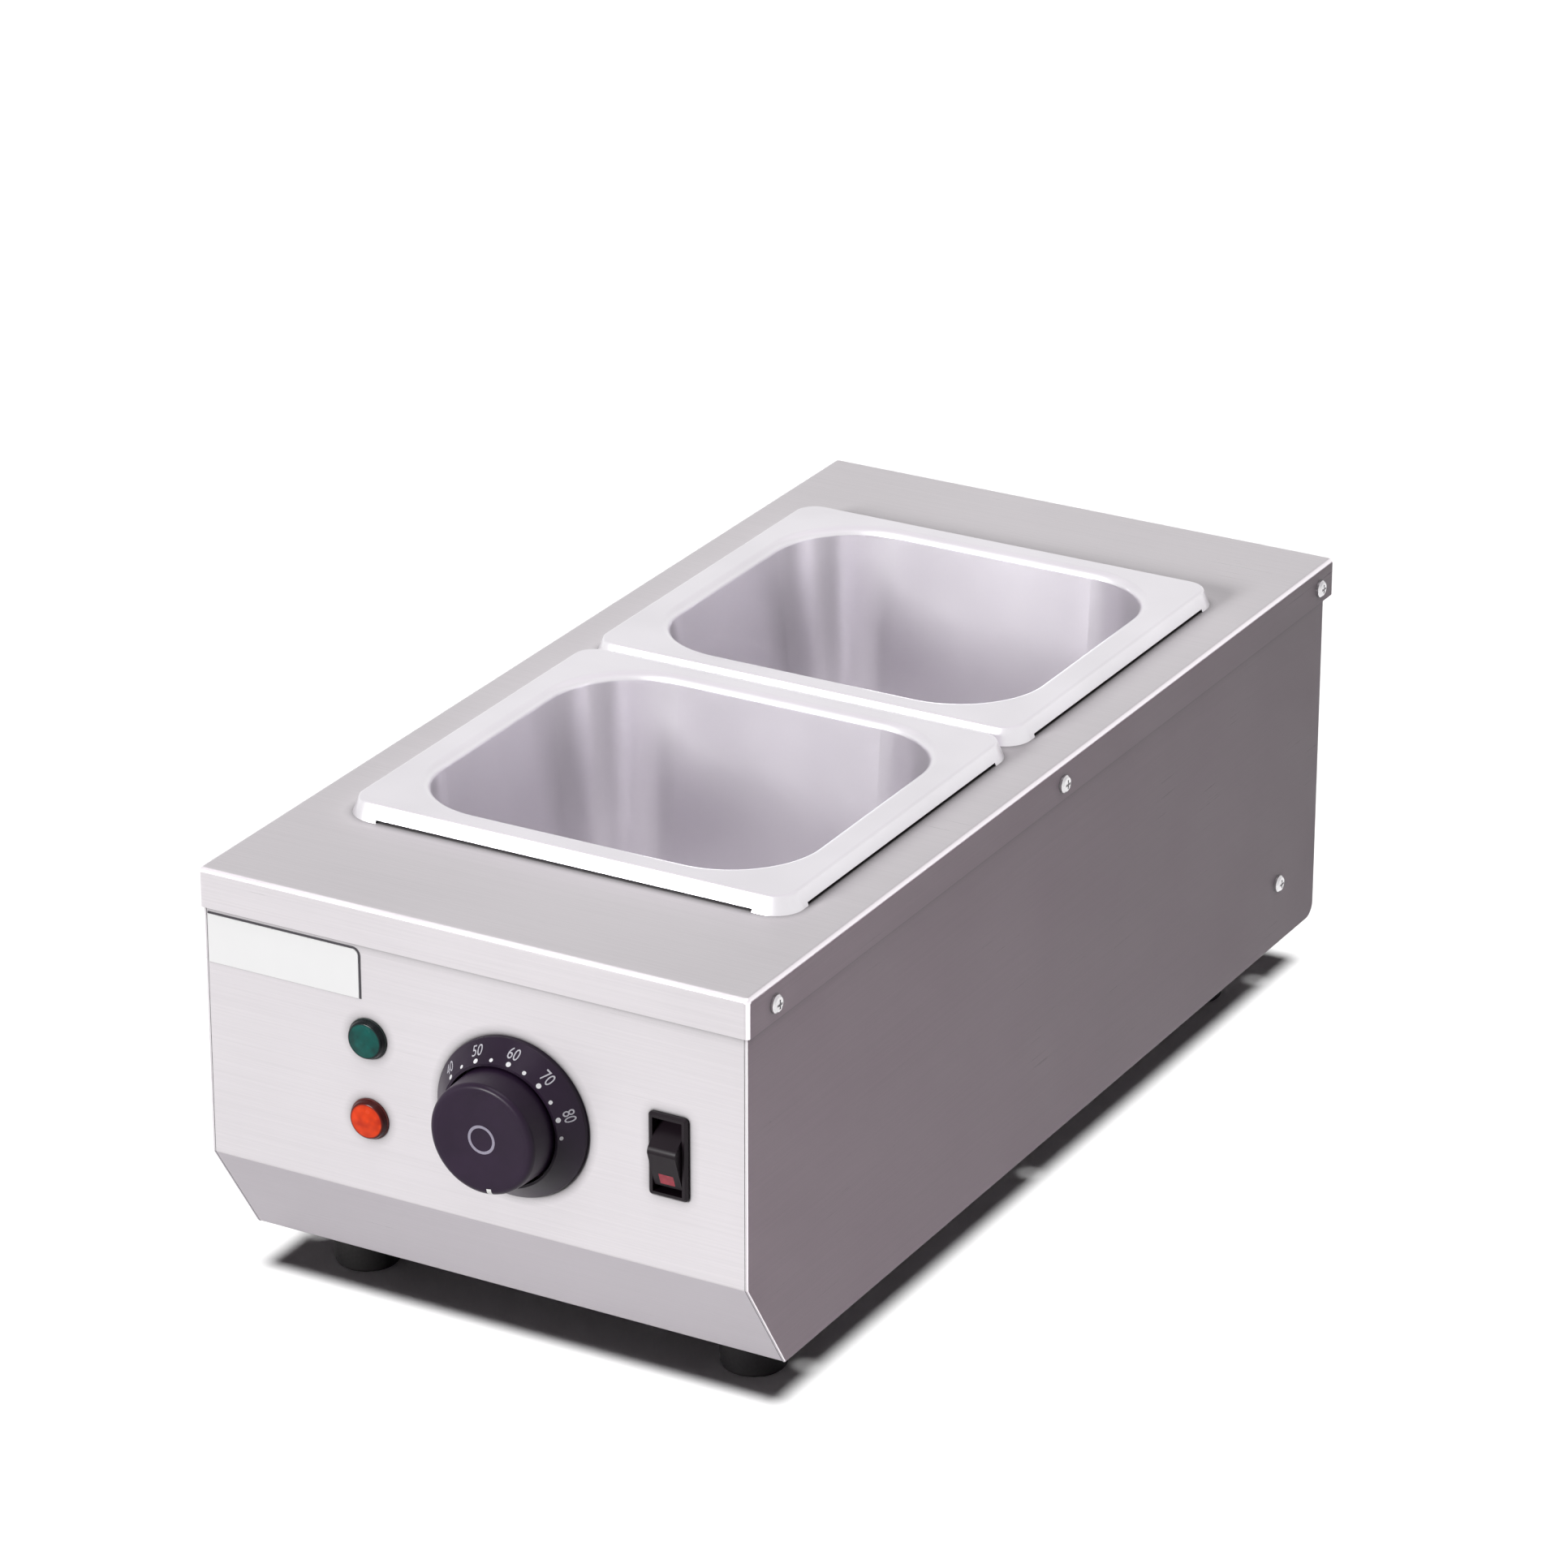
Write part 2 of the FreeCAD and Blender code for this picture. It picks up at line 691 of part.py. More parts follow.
def pan(centre_y):
    """Drawn pan: flat flange, flared turned-down rim, rolled mouth and drafted walls."""
    half_x = pan_length_x / 2
    half_y = pan_length_y / 2
    over = 2 * rim_land_x

    def level(inset_x, inset_y, radius, z):
        return rounded_wire(half_x - inset_x, half_y - inset_y, radius, z, centre_y)

    def cavity(grow):
        draft = grow - pan_wall_draft
        floor_z = pan_floor_z + pan_sheet - grow
        lid_z = rim_z - grow
        mouth = rounded_wire(opening_half_x + grow, opening_half_y + grow, opening_corner_radius + grow,
                             rim_z, centre_y)
        floor = rounded_wire(opening_half_x + draft, opening_half_y + draft, opening_corner_radius + draft,
                             floor_z, centre_y)
        body = rounded_taper(floor, mouth)
        body = body.makeFillet(pan_floor_radius + grow, edges_at_height(body, floor_z))
        lid = box(-half_x - over, half_x + over, centre_y - half_y - over, centre_y + half_y + over,
                  lid_z, lid_z + over)
        whole = body.fuse(lid)
        mouth_edges = []
        for edge in edges_at_height(whole, lid_z):
            if all(abs(vertex.X) < half_x for vertex in edge.Vertexes):
                mouth_edges.append(edge)
        return whole.makeFillet(pan_roll_radius - grow, mouth_edges)

    rim_outer = rounded_taper(level(0, 0, rim_corner_radius + rim_flare, deck_z),
                              level(rim_flare, rim_flare, rim_corner_radius, rim_z))
    rim_outer = rim_outer.makeFillet(rim_edge_radius, edges_at_height(rim_outer, rim_z))
    rim_inner = rounded_taper(level(pan_sheet, pan_sheet, rim_corner_radius + rim_flare - pan_sheet, deck_z),
                              level(rim_flare + pan_sheet, rim_flare + pan_sheet,
                                    rim_corner_radius - pan_sheet, rim_z - pan_sheet))
    inside = cavity(0.0)
    outside = cavity(pan_sheet)
    skin = rim_outer.cut(rim_inner)
    pocket_limit = rounded_prism(half_x + over, half_y + over, over, pan_floor_z - 5, rim_z, centre_y)
    wall = outside.common(pocket_limit)
    flange = rim_outer.common(outside)
    below = box(-half_x, half_x, centre_y - half_y, centre_y + half_y, pan_floor_z - 5, rim_z - pan_sheet)
    wall = wall.common(below)
    shell = skin.fuse(flange).fuse(wall).cut(inside)
    for relief in rim_reliefs(half_x, half_y, centre_y):
        shell = shell.cut(relief)
    return shell.removeSplitter()


def rim_reliefs(half_x, half_y, centre_y):
    """Space under the rim between its corners, where it clears the deck."""
    deep = rim_flare + 2 * pan_sheet
    span_x = half_x - rim_seat
    span_y = half_y - rim_seat
    top = deck_z + rim_relief
    reliefs = []
    for side in (LEFT, RIGHT):
        edge_x = side * half_x
        edge_y = centre_y + side * half_y
        reliefs.append(box(edge_x - deep, edge_x + deep, centre_y - span_y, centre_y + span_y, base_z, top))
        reliefs.append(box(-span_x, span_x, edge_y - deep, edge_y + deep, base_z, top))
    return reliefs


def heating_well():
    half_y = (well_rear_y - well_front_y) / 2
    centre_y = (well_rear_y + well_front_y) / 2

    def tub(grow, top):
        floor = well_floor_z - grow
        body = rounded_prism(well_half_x + grow, half_y + grow, well_corner_radius + grow,
                             floor, top, centre_y)
        return body.makeFillet(well_floor_radius + grow, edges_at_height(body, floor))

    outer = tub(sheet, under_cover)
    reach = sheet + well_flange_width
    flange = rounded_prism(well_half_x + reach, half_y + reach, 4, under_cover - sheet, under_cover, centre_y)
    well = outer.fuse(flange).cut(tub(0.0, under_cover + 1))
    for place in stud_places():
        well = well.cut(rod(stud_radius + hole_clearance, place - Vector(0, 0, 4), place + Vector(0, 0, 1)))
    for x in (-element_leg_x, element_leg_x, 0.0):
        start = Vector(x, well_front_y - sheet - 2, element_z)
        well = well.cut(rod(element_gland_radius + hole_clearance, start, start + Vector(0, sheet + 4, 0)))
    return well.removeSplitter()


def well_nuts():
    nuts = []
    for place in stud_places():
        start = place - Vector(0, 0, sheet)
        nut = hexagon(nut_flats, start, nut_height, Vector(0, 0, -1))
        nuts.append(nut.cut(rod(stud_radius, start + Vector(0, 0, 1), start - Vector(0, 0, 4))))
    return nuts


def insulation_blanket():
    """Mat round both long walls, the rear wall and the floor of the well, open at the front."""
    skin = sheet + insulation_gap
    thick = skin + insulation_thickness
    top = under_cover - sheet - insulation_drop
    rear = well_rear_y + thick
    outer = box(-well_half_x - thick, well_half_x + thick, well_front_y, rear, well_floor_z - thick, top)
    inner_half_y = (well_rear_y - well_front_y) / 2 + skin
    centre_y = (well_rear_y + well_front_y) / 2
    hollow = rounded_prism(well_half_x + skin, inner_half_y, well_corner_radius + skin,
                           well_floor_z - skin, top + 1, centre_y)
    hollow = hollow.makeFillet(well_floor_radius + skin, edges_at_height(hollow, well_floor_z - skin))
    mouth = box(-well_half_x - skin, well_half_x + skin, well_front_y - 1, centre_y,
                well_floor_z - skin, top + 1)
    rear_uprights = [edge for edge in upright_edges(outer) if edge.Vertexes[0].Y > centre_y]
    outer = outer.makeFillet(insulation_thickness * 0.6, rear_uprights)
    return outer.cut(hollow).cut(mouth)


def element_path():
    """Level loop: two cold legs through the front wall, cranked out to run near the long walls."""
    start_y = well_front_y - element_front_reach
    crank_y = well_front_y + element_crank_length
    end_y = well_rear_y - element_end_gap
    right = [(element_leg_x, start_y), (element_leg_x, crank_y - element_crank_half),
             (element_wide_x, crank_y + element_crank_half), (element_wide_x, end_y)]
    left = [(-x, y) for x, y in reversed(right)]
    return right + left


def tangent_wire(points, bend):
    """Straight runs joined by tangent arcs, through 3-D points."""
    edges = []
    last = points[0]
    for before, corner, after in zip(points, points[1:], points[2:]):
        way_in = (corner - before).normalize()
        way_out = (after - corner).normalize()
        turn = way_in.getAngle(way_out)
        reach = bend * math.tan(turn / 2)
        start = corner - way_in * reach
        end = corner + way_out * reach
        to_centre = (way_out - way_in).normalize()
        centre = corner + to_centre * (bend / math.cos(turn / 2))
        middle = centre - to_centre * bend
        edges.append(Part.LineSegment(last, start).toShape())
        edges.append(Part.Arc(start, middle, end).toShape())
        last = end
    edges.append(Part.LineSegment(last, points[-1]).toShape())
    return Part.Wire(edges)


def tube(points, bend, radius):
    path = tangent_wire(points, bend)
    circle = Part.Wire(Part.makeCircle(radius, points[0], (points[1] - points[0]).normalize()))
    return path.makePipeShell([circle], True, False)


def heating_element():
    points = [Vector(x, y, element_z) for x, y in element_path()]
    return tube(points, element_bend_radius, element_radius)


def element_rests():
    """Two folded strips across the well floor that carry the element."""
    rests = []
    top = element_z - element_radius - element_seat_gap
    foot = well_floor_z + sheet
    far_clip = max(clip_places())
    first = far_clip + clip_half_width + clip_rest_gap + rest_foot + rest_half_width
    for y in (first, first + rest_pitch):
        near, far = y - rest_half_width, y + rest_half_width
        path = [(far + rest_foot, foot), (far, foot), (far, top), (near, top), (near, foot),
                (near - rest_foot, foot)]
        half = element_wide_x + rest_overhang
        rests.append(folded_strip(path, sheet, -half, half))
    return rests


def element_glands():
    """Threaded bushes on the element's cold legs, with a hexagon inside the well."""
    glands = []
    for x in (-element_leg_x, element_leg_x):
        inside = Vector(x, well_front_y, element_z)
        head = hexagon(element_gland_hex, inside, element_gland_height, Vector(0, 1, 0))
        barrel = rod(element_gland_radius, inside - Vector(0, element_gland_length, 0), inside)
        reach = Vector(0, 2 * element_gland_length, 0)
        bore = rod(element_radius, inside - reach, inside + reach)
        glands.append(head.fuse(barrel).cut(bore))
    return glands


def gland_nut(x):
    outside = Vector(x, well_front_y - sheet, element_z)
    nut = hexagon(element_gland_hex, outside, element_gland_height, Vector(0, -1, 0))
    reach = Vector(0, 2 * element_gland_height, 0)
    return nut.cut(rod(element_gland_radius, outside + reach, outside - reach))


def element_gland_nuts():
    return [gland_nut(x) for x in (-element_leg_x, element_leg_x, 0.0)]


def element_terminals():
    """Flat tabs welded to the cold pins."""
    tabs = []
    end_y = well_front_y - element_front_reach
    for x in (-element_leg_x, element_leg_x):
        end = Vector(x, end_y, element_z)
        collar = rod(element_radius / 2, end - Vector(0, tab_length / 3, 0), end)
        tabs.append(tab(end - Vector(0, tab_length, 0), False).fuse(collar))
    return tabs


def edges_along_y(shape):
    found = []
    for edge in shape.Edges:
        bounds = edge.BoundBox
        if bounds.YLength > max(bounds.XLength, bounds.ZLength):
            found.append(edge)
    return found


def dial_point(y):
    """Point on the axis that the dial, knob and thermostat share."""
    return Vector(dial_x, y, control_z)


def thermostat_body():
    """Capillary thermostat: fixing plate, case, cup and the bearing neck of its spindle."""
    half_x = thermostat_width / 2
    half_z = thermostat_height / 2
    plate_y = face_y + thermostat_plate
    plate = box(dial_x - half_x, dial_x + half_x, face_y, plate_y,
                control_z - half_z / 2, control_z + half_z / 2)
    case = box(dial_x - half_x + 4, dial_x + half_x - 4, plate_y, face_y + thermostat_depth,
               control_z - half_z, control_z + half_z)
    case = case.makeFillet(case_edge_radius, edges_along_y(case))
    cup_start = Vector(dial_x, face_y + thermostat_depth, control_z)
    cup = turned([(0, 0), (cup_radius, 0), (cup_radius, cup_depth * 0.6), (cup_radius - 2, cup_depth),
                  (0, cup_depth)], cup_start, Vector(0, 1, 0))
    neck_end = dial_point(face_y + 2 * thermostat_plate)
    neck = rod(neck_radius, dial_point(panel_y - dial_floor + lap_gap), neck_end)
    body = plate.fuse(case).fuse(cup).fuse(neck)
    body = body.cut(rod(shaft_radius + shaft_clearance, dial_point(panel_y - shaft_end_depth),
                        dial_point(face_y + shaft_seat + knob_running_gap)))
    for side in (LEFT, RIGHT):
        start = Vector(dial_x + side * thermostat_screw_pitch / 2, panel_y, control_z)
        body = body.cut(rod(screw_radius, start, start + Vector(0, sheet + screw_length, 0)))
    return body.removeSplitter()


def thermostat_shaft():
    tip = panel_y - knob_proud + shaft_end_depth
    shaft = rod(shaft_radius, dial_point(tip), dial_point(face_y + shaft_seat))
    return shaft.cut(spindle_flat())


def spindle_flat():
    """Space left by the flat on the spindle's free end."""
    tip = panel_y - knob_proud + shaft_end_depth
    return box(dial_x - shaft_radius, dial_x + shaft_radius, tip - 1, tip + 3 * shaft_radius,
               control_z + shaft_radius - shaft_flat, control_z + 2 * shaft_radius)


def thermostat_screws():
    screws = []
    for side in (LEFT, RIGHT):
        place = Vector(dial_x + side * thermostat_screw_pitch / 2, panel_y - dial_floor, control_z)
        screws.append(pan_head_screw(place, Vector(0, -1, 0)))
    return screws


def thermostat_terminals():
    tabs = []
    for side in (LEFT, RIGHT):
        x = dial_x + side * (cup_radius + 2)
        for row in (-1, 1):
            z = control_z + row * thermostat_height / 4
            tabs.append(tab(Vector(x, face_y + thermostat_depth, z), True))
    return tabs


def capillary_tube():
    """Fine tube from the thermostat cup through its gland to the bulb in the well."""
    start_y = face_y + thermostat_depth + cup_depth
    start_z = control_z - capillary_offset
    end_y = well_front_y + bulb_start
    drop_y = (start_y + well_front_y - sheet) / 2
    points = [Vector(dial_x, start_y, start_z), Vector(dial_x, drop_y, start_z),
              Vector(dial_x / 2, drop_y, element_z + 2 * capillary_offset), Vector(0, drop_y, element_z),
              Vector(0, end_y, element_z)]
    return tube(points, capillary_bend, capillary_radius)


def sensor_bulb():
    start = Vector(0, well_front_y + bulb_start, element_z)
    body = rod(bulb_radius, start, start + Vector(0, bulb_length, 0))
    ends = [edge for edge in body.Edges if len(edge.Vertexes) == 1]
    return body.makeFillet(bulb_radius * 0.6, ends)


def clip_places():
    start = well_front_y + bulb_start
    return (start + clip_inset, start + bulb_length - clip_inset)


def bulb_clips():
    """Stems on the well floor that hold the bulb level with the element."""
    clips = []
    low = well_floor_z
    reach = Vector(0, clip_half_width, 0)
    for y in clip_places():
        centre = Vector(0, y, element_z)
        ring = rod(bulb_radius + sheet, centre - reach, centre + reach)
        stem = box(-sheet / 2, sheet / 2, centre.y - reach.y, centre.y + reach.y, low, centre.z - bulb_radius)
        sole = box(-clip_foot, clip_foot, centre.y - reach.y, centre.y + reach.y, low, low + sheet)
        hollow = rod(bulb_radius, centre - reach * 2, centre + reach * 2)
        clips.append(ring.fuse(stem).fuse(sole).cut(hollow))
    return clips


def bulb_gland():
    """Small bush for the capillary in the middle hole of the well's front wall."""
    inside = Vector(0, well_front_y, element_z)
    head = hexagon(element_gland_hex, inside, element_gland_height, Vector(0, 1, 0))
    barrel = rod(element_gland_radius, inside - Vector(0, element_gland_length, 0), inside)
    return head.fuse(barrel).cut(rod(capillary_radius, inside - Vector(0, 30, 0), inside + Vector(0, 30, 0)))


def thermal_cutout():
    """Snap-disc cut-out clamped on the outside of the well's front wall."""
    start = Vector(cutout_inset - well_half_x, well_front_y - sheet, element_z + cutout_rise)
    disc = turned([(0, 0), (cutout_radius, 0), (cutout_radius, cutout_height * 0.6),
                   (cutout_radius - 1, cutout_height), (0, cutout_height)], start, Vector(0, -1, 0))
    ears = box(start.x - cutout_ears, start.x + cutout_ears, start.y - sheet, start.y,
               start.z - cutout_radius / 2, start.z + cutout_radius / 2)
    cutout = disc.fuse(ears)
    for side in (LEFT, RIGHT):
        base = start + Vector(side * cutout_radius / 2, -cutout_height - tab_length, 0)
        cutout = cutout.fuse(tab(base, True))
    return cutout


def round_edges(shape, y, radius):
    """Circles of at least the radius that stand upright in the plane of y."""
    found = []
    for edge in shape.Edges:
        bounds = edge.BoundBox
        if bounds.YLength < 1e-2 and abs(bounds.YMin - y) < 1e-2 and bounds.XLength > 2 * radius - 0.1:
            found.append(edge)
    return found


def dial_bezel():
    """Fixed conical ring that carries the temperature scale, hollow behind."""
    centre = Vector(dial_x, panel_y, control_z)
    forward = Vector(0, -1, 0)
    top_radius = dial_bore_radius + dial_lip
    ring = turned([(dial_bore_radius, 0), (dial_radius, 0), (dial_radius, dial_edge),
                   (top_radius, dial_height), (dial_bore_radius, dial_height)], centre, forward)
    ring = ring.makeFillet(dial_edge_radius, round_edges(ring, panel_y - dial_edge, dial_radius))
    inner, outer = neck_radius + hole_clearance, dial_bore_radius + dial_lip / 2
    floor = turned([(inner, 0), (outer, 0), (outer, dial_floor), (inner, dial_floor)], centre, forward)
    wall = dial_wall
    hollow = turned([(dial_bore_radius + wall, -1), (dial_radius - wall, -1), (dial_radius - wall, 0.4),
                     (dial_bore_radius + wall, dial_height - 2.6 * wall)], centre, forward)
    bezel = ring.fuse(floor).cut(hollow)
    for side in (LEFT, RIGHT):
        middle = Vector(dial_x + side * thermostat_screw_pitch / 2, panel_y, control_z)
        hole = rod(screw_radius + hole_clearance, middle - forward * sheet, middle + forward * neck_radius)
        bezel = bezel.cut(hole)
    return bezel.removeSplitter()


def knob_form(rear):
    """Tapered outside of the knob, with its rounded edge, from `rear` to the face."""
    form = turned([(0, rear), (knob_base_radius, rear), (knob_face_radius, knob_proud), (0, knob_proud)],
                  dial_point(panel_y), Vector(0, -1, 0))
    return form.makeFillet(knob_edge_radius, round_edges(form, panel_y - knob_proud, knob_face_radius))


def control_knob():
    """Moulded knob: tapered grip, dished face, hollow back with ribs and a boss for the spindle."""
    centre = Vector(dial_x, panel_y, control_z)
    forward = Vector(0, -1, 0)
    rear = dial_floor + knob_running_gap
    body = knob_form(rear)
    dish_radius = knob_face_radius - knob_edge_radius - 1.2
    ball = (dish_radius ** 2 + knob_dish ** 2) / (2 * knob_dish)
    body = body.cut(Part.makeSphere(ball, centre + forward * (knob_proud - knob_dish + ball)))
    inside = knob_proud - knob_wall - knob_dish
    hollow = turned([(knob_boss_radius, rear - 1), (knob_base_radius - knob_wall, rear - 1),
                     (knob_face_radius - knob_wall, inside), (knob_boss_radius, inside)], centre, forward)
    body = body.cut(hollow)
    rib_top = panel_y - inside - knob_wall / 4
    rib_end = panel_y - clip_start - clip_length - knob_running_gap
    for index in range(knob_ribs):
        rib = box(-knob_rib_half, knob_rib_half, rib_top, rib_end,
                  knob_boss_radius - knob_wall / 4, knob_face_radius - knob_wall * 0.75)
        rib.rotate(Vector(0, panel_y, 0), Vector(0, 1, 0), (index + 0.5) * 360 / knob_ribs)
        rib.translate(Vector(dial_x, 0, control_z))
        body = body.fuse(rib)
    bore = rod(shaft_radius, centre + forward * (rear - 1), centre + forward * (knob_proud - shaft_end_depth))
    body = body.cut(bore.cut(spindle_flat()))
    return body.cut(pointer_blank()).removeSplitter()


def pointer_blank():
    """Bar let into the knob's edge, pointing at the off mark."""
    reach = knob_face_radius
    face = panel_y - knob_proud
    bar = box(-pointer_width / 2, pointer_width / 2, face, face + pointer_depth,
              reach - pointer_length, reach)
    bar.rotate(Vector(0, 0, 0), Vector(0, 1, 0), off_angle)
    bar.translate(Vector(dial_x, 0, control_z))
    return bar


def knob_pointer():
    """White insert, trimmed to the knob's rounded edge."""
    return pointer_blank().common(knob_form(dial_floor))


def knob_clip():
    """Split spring ring round the knob's boss."""
    centre = Vector(dial_x, panel_y, control_z)
    start = centre - Vector(0, clip_start, 0)
    outer = knob_boss_radius + clip_thickness
    ring = turned([(knob_boss_radius, 0), (outer, 0), (outer, clip_length), (knob_boss_radius, clip_length)],
                  start, Vector(0, -1, 0))
    gap = box(dial_x - clip_gap / 2, dial_x + clip_gap / 2, start.y - 2 * clip_length, start.y + clip_length,
              control_z - 2 * outer, control_z)
    return ring.cut(gap)


def lamp_centre(side):
    return Vector(lamp_x, panel_y, control_z + side * lamp_pitch / 2)


def lamp_lens(side):
    """Cap-shaped lens: a tapered wall, a softly domed face and a spigot in the lamp's barrel."""
    centre = lamp_centre(side)
    forward = Vector(0, -1, 0)
    edge = lens_proud - lens_dome
    wall = turned([(0, lamp_flange), (lens_base_radius, lamp_flange), (lens_face_radius, edge), (0, edge)],
                  centre, forward)
    wall = wall.makeFillet(lens_edge_radius, round_edges(wall, panel_y - edge, lens_face_radius))
    dome_radius = lens_face_radius - lens_edge_radius
    ball = (dome_radius ** 2 + lens_dome ** 2) / (2 * lens_dome)
    dome = Part.makeSphere(ball, centre + forward * (lens_proud - ball))
    dome = dome.common(rod(dome_radius, centre + forward * (edge / 2), centre + forward * (2 * lens_proud)))
    root = centre + forward * (lamp_flange - lens_spigot)
    spigot = rod(lens_spigot_radius, root, centre + forward * (edge / 2))
    return wall.fuse(dome).fuse(spigot).removeSplitter()


def lamp_housings():
    """Barrels behind the lenses, each with a thin flange outside and a snap collar inside the panel."""
    housings = []
    for side in (LEFT, RIGHT):
        centre = lamp_centre(side)
        flange = rod(lamp_flange_radius, centre - Vector(0, lamp_flange, 0), centre)
        barrel = rod(lamp_barrel_radius, centre, centre + Vector(0, lamp_barrel_length, 0))
        back = sheet + hole_clearance / 2
        inner = lamp_barrel_radius - lamp_collar / 3
        collar = turned([(inner, back), (lamp_barrel_radius + lamp_collar, back),
                         (inner, back + 3 * lamp_collar)], centre, Vector(0, 1, 0))
        seat = rod(lens_spigot_radius, centre - Vector(0, lamp_flange + 1, 0),
                   centre + Vector(0, lens_spigot - lamp_flange, 0))
        housings.append(flange.fuse(barrel).fuse(collar).cut(seat).removeSplitter())
    return housings


def lamp_terminals():
    tabs = []
    for side in (LEFT, RIGHT):
        centre = lamp_centre(side) + Vector(0, lamp_barrel_length, 0)
        for shift in (-lamp_barrel_radius / 2, lamp_barrel_radius / 2):
            tabs.append(tab(centre + Vector(shift, 0, 0), True, small_tab_width))
    return tabs


def switch_housing():
    """Snap-in frame and case with a well for the rocker and bores for its pins."""
    half_w = switch_frame_width / 2
    half_h = switch_frame_height / 2
    frame = box(switch_x - half_w, switch_x + half_w, panel_y - switch_frame, panel_y,
                control_z - half_h, control_z + half_h)
    frame = frame.makeFillet(switch_corner_radius, edges_along_y(frame))
    face = panel_y - switch_frame
    front_edges = [edge for edge in frame.Edges
                   if all(abs(vertex.Y - face) < 1e-4 for vertex in edge.Vertexes)]
    frame = frame.makeChamfer(switch_chamfer, front_edges)
    body_w = switch_body_width / 2
    body_h = switch_body_height / 2
    body = box(switch_x - body_w, switch_x + body_w, panel_y - 0.5, panel_y + switch_body_depth,
               control_z - body_h, control_z + body_h)
    cavity_w = switch_cavity_width / 2
    cavity_h = switch_cavity_height / 2
    cavity = box(switch_x - cavity_w, switch_x + cavity_w, panel_y - 6, panel_y + switch_cavity_depth,
                 control_z - cavity_h, control_z + cavity_h)
    housing = frame.fuse(body).cut(cavity)
    pivot = Vector(switch_x, panel_y + rocker_pivot_depth, control_z)
    reach = Vector(rocker_pin_reach + rocker_side_gap, 0, 0)
    housing = housing.cut(rod(rocker_pin_radius + shaft_clearance, pivot - reach, pivot + reach))
    for side in (LEFT, RIGHT):
        z = control_z + side * (body_h - lap_gap)
        catch_y = face_y + lap_gap
        ramp = [(catch_y, z), (catch_y, z + side * switch_catch), (catch_y + 6 * switch_catch, z)]
        half = switch_body_width / 4
        housing = housing.fuse(profile_prism(ramp, switch_x - half, switch_x + half))
    return housing.removeSplitter()


def rocker_outline():
    """Side view of the rocker, level, as (y, z) about its pivot with y towards the back."""
    end_radius = switch_cavity_height / 2 - rocker_end_gap
    tilt = math.radians(rocker_tilt)
    raised = rocker_pivot_depth + rocker_corner_proud
    corner_angle = math.asin(raised / end_radius) - tilt
    corner = (end_radius * math.cos(corner_angle), end_radius * math.sin(corner_angle))
    ridge = (rocker_pivot_depth + rocker_ridge_proud) / math.cos(tilt)
    return end_radius, corner, ridge


def rocker_level():
    """Rocker body with both ends at the same height."""
    end_radius, corner, ridge = rocker_outline()
    half_w = switch_cavity_width / 2 - rocker_side_gap
    flat = rocker_crown
    pivot = Vector(switch_x - half_w, panel_y + rocker_pivot_depth, control_z)
    low = rocker_depth

    def place(z, y):
        return pivot + Vector(0, -y, z)

    side_low = math.sqrt(end_radius ** 2 - low ** 2)
    mid_angle = (math.atan2(corner[1], corner[0]) + math.atan2(-low, side_low)) / 2
    middle = (end_radius * math.cos(mid_angle), end_radius * math.sin(mid_angle))
    edges = [Part.LineSegment(place(-corner[0], corner[1]), place(-flat, ridge)).toShape(),
             Part.Arc(place(-flat, ridge), place(0, ridge + flat / 5), place(flat, ridge)).toShape(),
             Part.LineSegment(place(flat, ridge), place(corner[0], corner[1])).toShape(),
             Part.Arc(place(corner[0], corner[1]), place(*middle), place(side_low, -low)).toShape(),
             Part.LineSegment(place(side_low, -low), place(0, -2 * low)).toShape(),
             Part.LineSegment(place(0, -2 * low), place(-side_low, -low)).toShape(),
             Part.Arc(place(-side_low, -low), place(-middle[0], middle[1]),
                      place(-corner[0], corner[1])).toShape()]
    body = Part.Face(Part.Wire(edges)).extrude(Vector(2 * half_w, 0, 0))
    pivot_middle = Vector(switch_x, pivot.y, control_z)
    pin_reach = Vector(rocker_pin_reach, 0, 0)
    return body.fuse(rod(rocker_pin_radius, pivot_middle - pin_reach, pivot_middle + pin_reach))


def tip_rocker(shape):
    """Turns a level rocker piece to its rest pose, upper end pressed in."""
    pivot = Vector(0, panel_y + rocker_pivot_depth, control_z)
    shape.rotate(pivot, Vector(1, 0, 0), -rocker_tilt)
    return shape


def lens_blank():
    """Window in the lower half of the rocker, flush with its face."""
    end_radius, corner, ridge = rocker_outline()
    fall = ridge - corner[1]
    run = corner[0] - rocker_crown
    slope = math.atan2(fall, run)
    below = run / 2 + window_drop
    centre = Vector(switch_x, panel_y + rocker_pivot_depth - ridge + fall * below / run,
                    control_z - rocker_crown - below)
    window = box(-window_width / 2, window_width / 2, -window_depth / 2, window_depth / 2,
                 -window_height / 2, window_height / 2)
    window.rotate(Vector(0, 0, 0), Vector(1, 0, 0), math.degrees(slope))
    window.translate(centre)
    return window


def switch_rocker():
    return tip_rocker(rocker_level().cut(lens_blank()).removeSplitter())


def rocker_lens():
    return tip_rocker(rocker_level().common(lens_blank()))


def switch_terminals():
    tabs = []
    for row in (-1, 0, 1):
        z = control_z + row * switch_body_height * 0.28
        tabs.append(tab(Vector(switch_x, panel_y + switch_body_depth, z), False, small_tab_width))
    return tabs


def cover_screws():
    return [pan_head_screw(place, outward) for place, outward in cover_screw_places()]


def side_screws():
    return [pan_head_screw(place, outward) for place, outward in side_screw_places()]


def back_screws():
    return [pan_head_screw(place, outward) for place, outward in back_screw_places()]


def base_screws():
    return [pan_head_screw(place, outward) for place, outward in base_screw_places()]


def bracket_y():
    return rear_y - side_screw_rear_inset


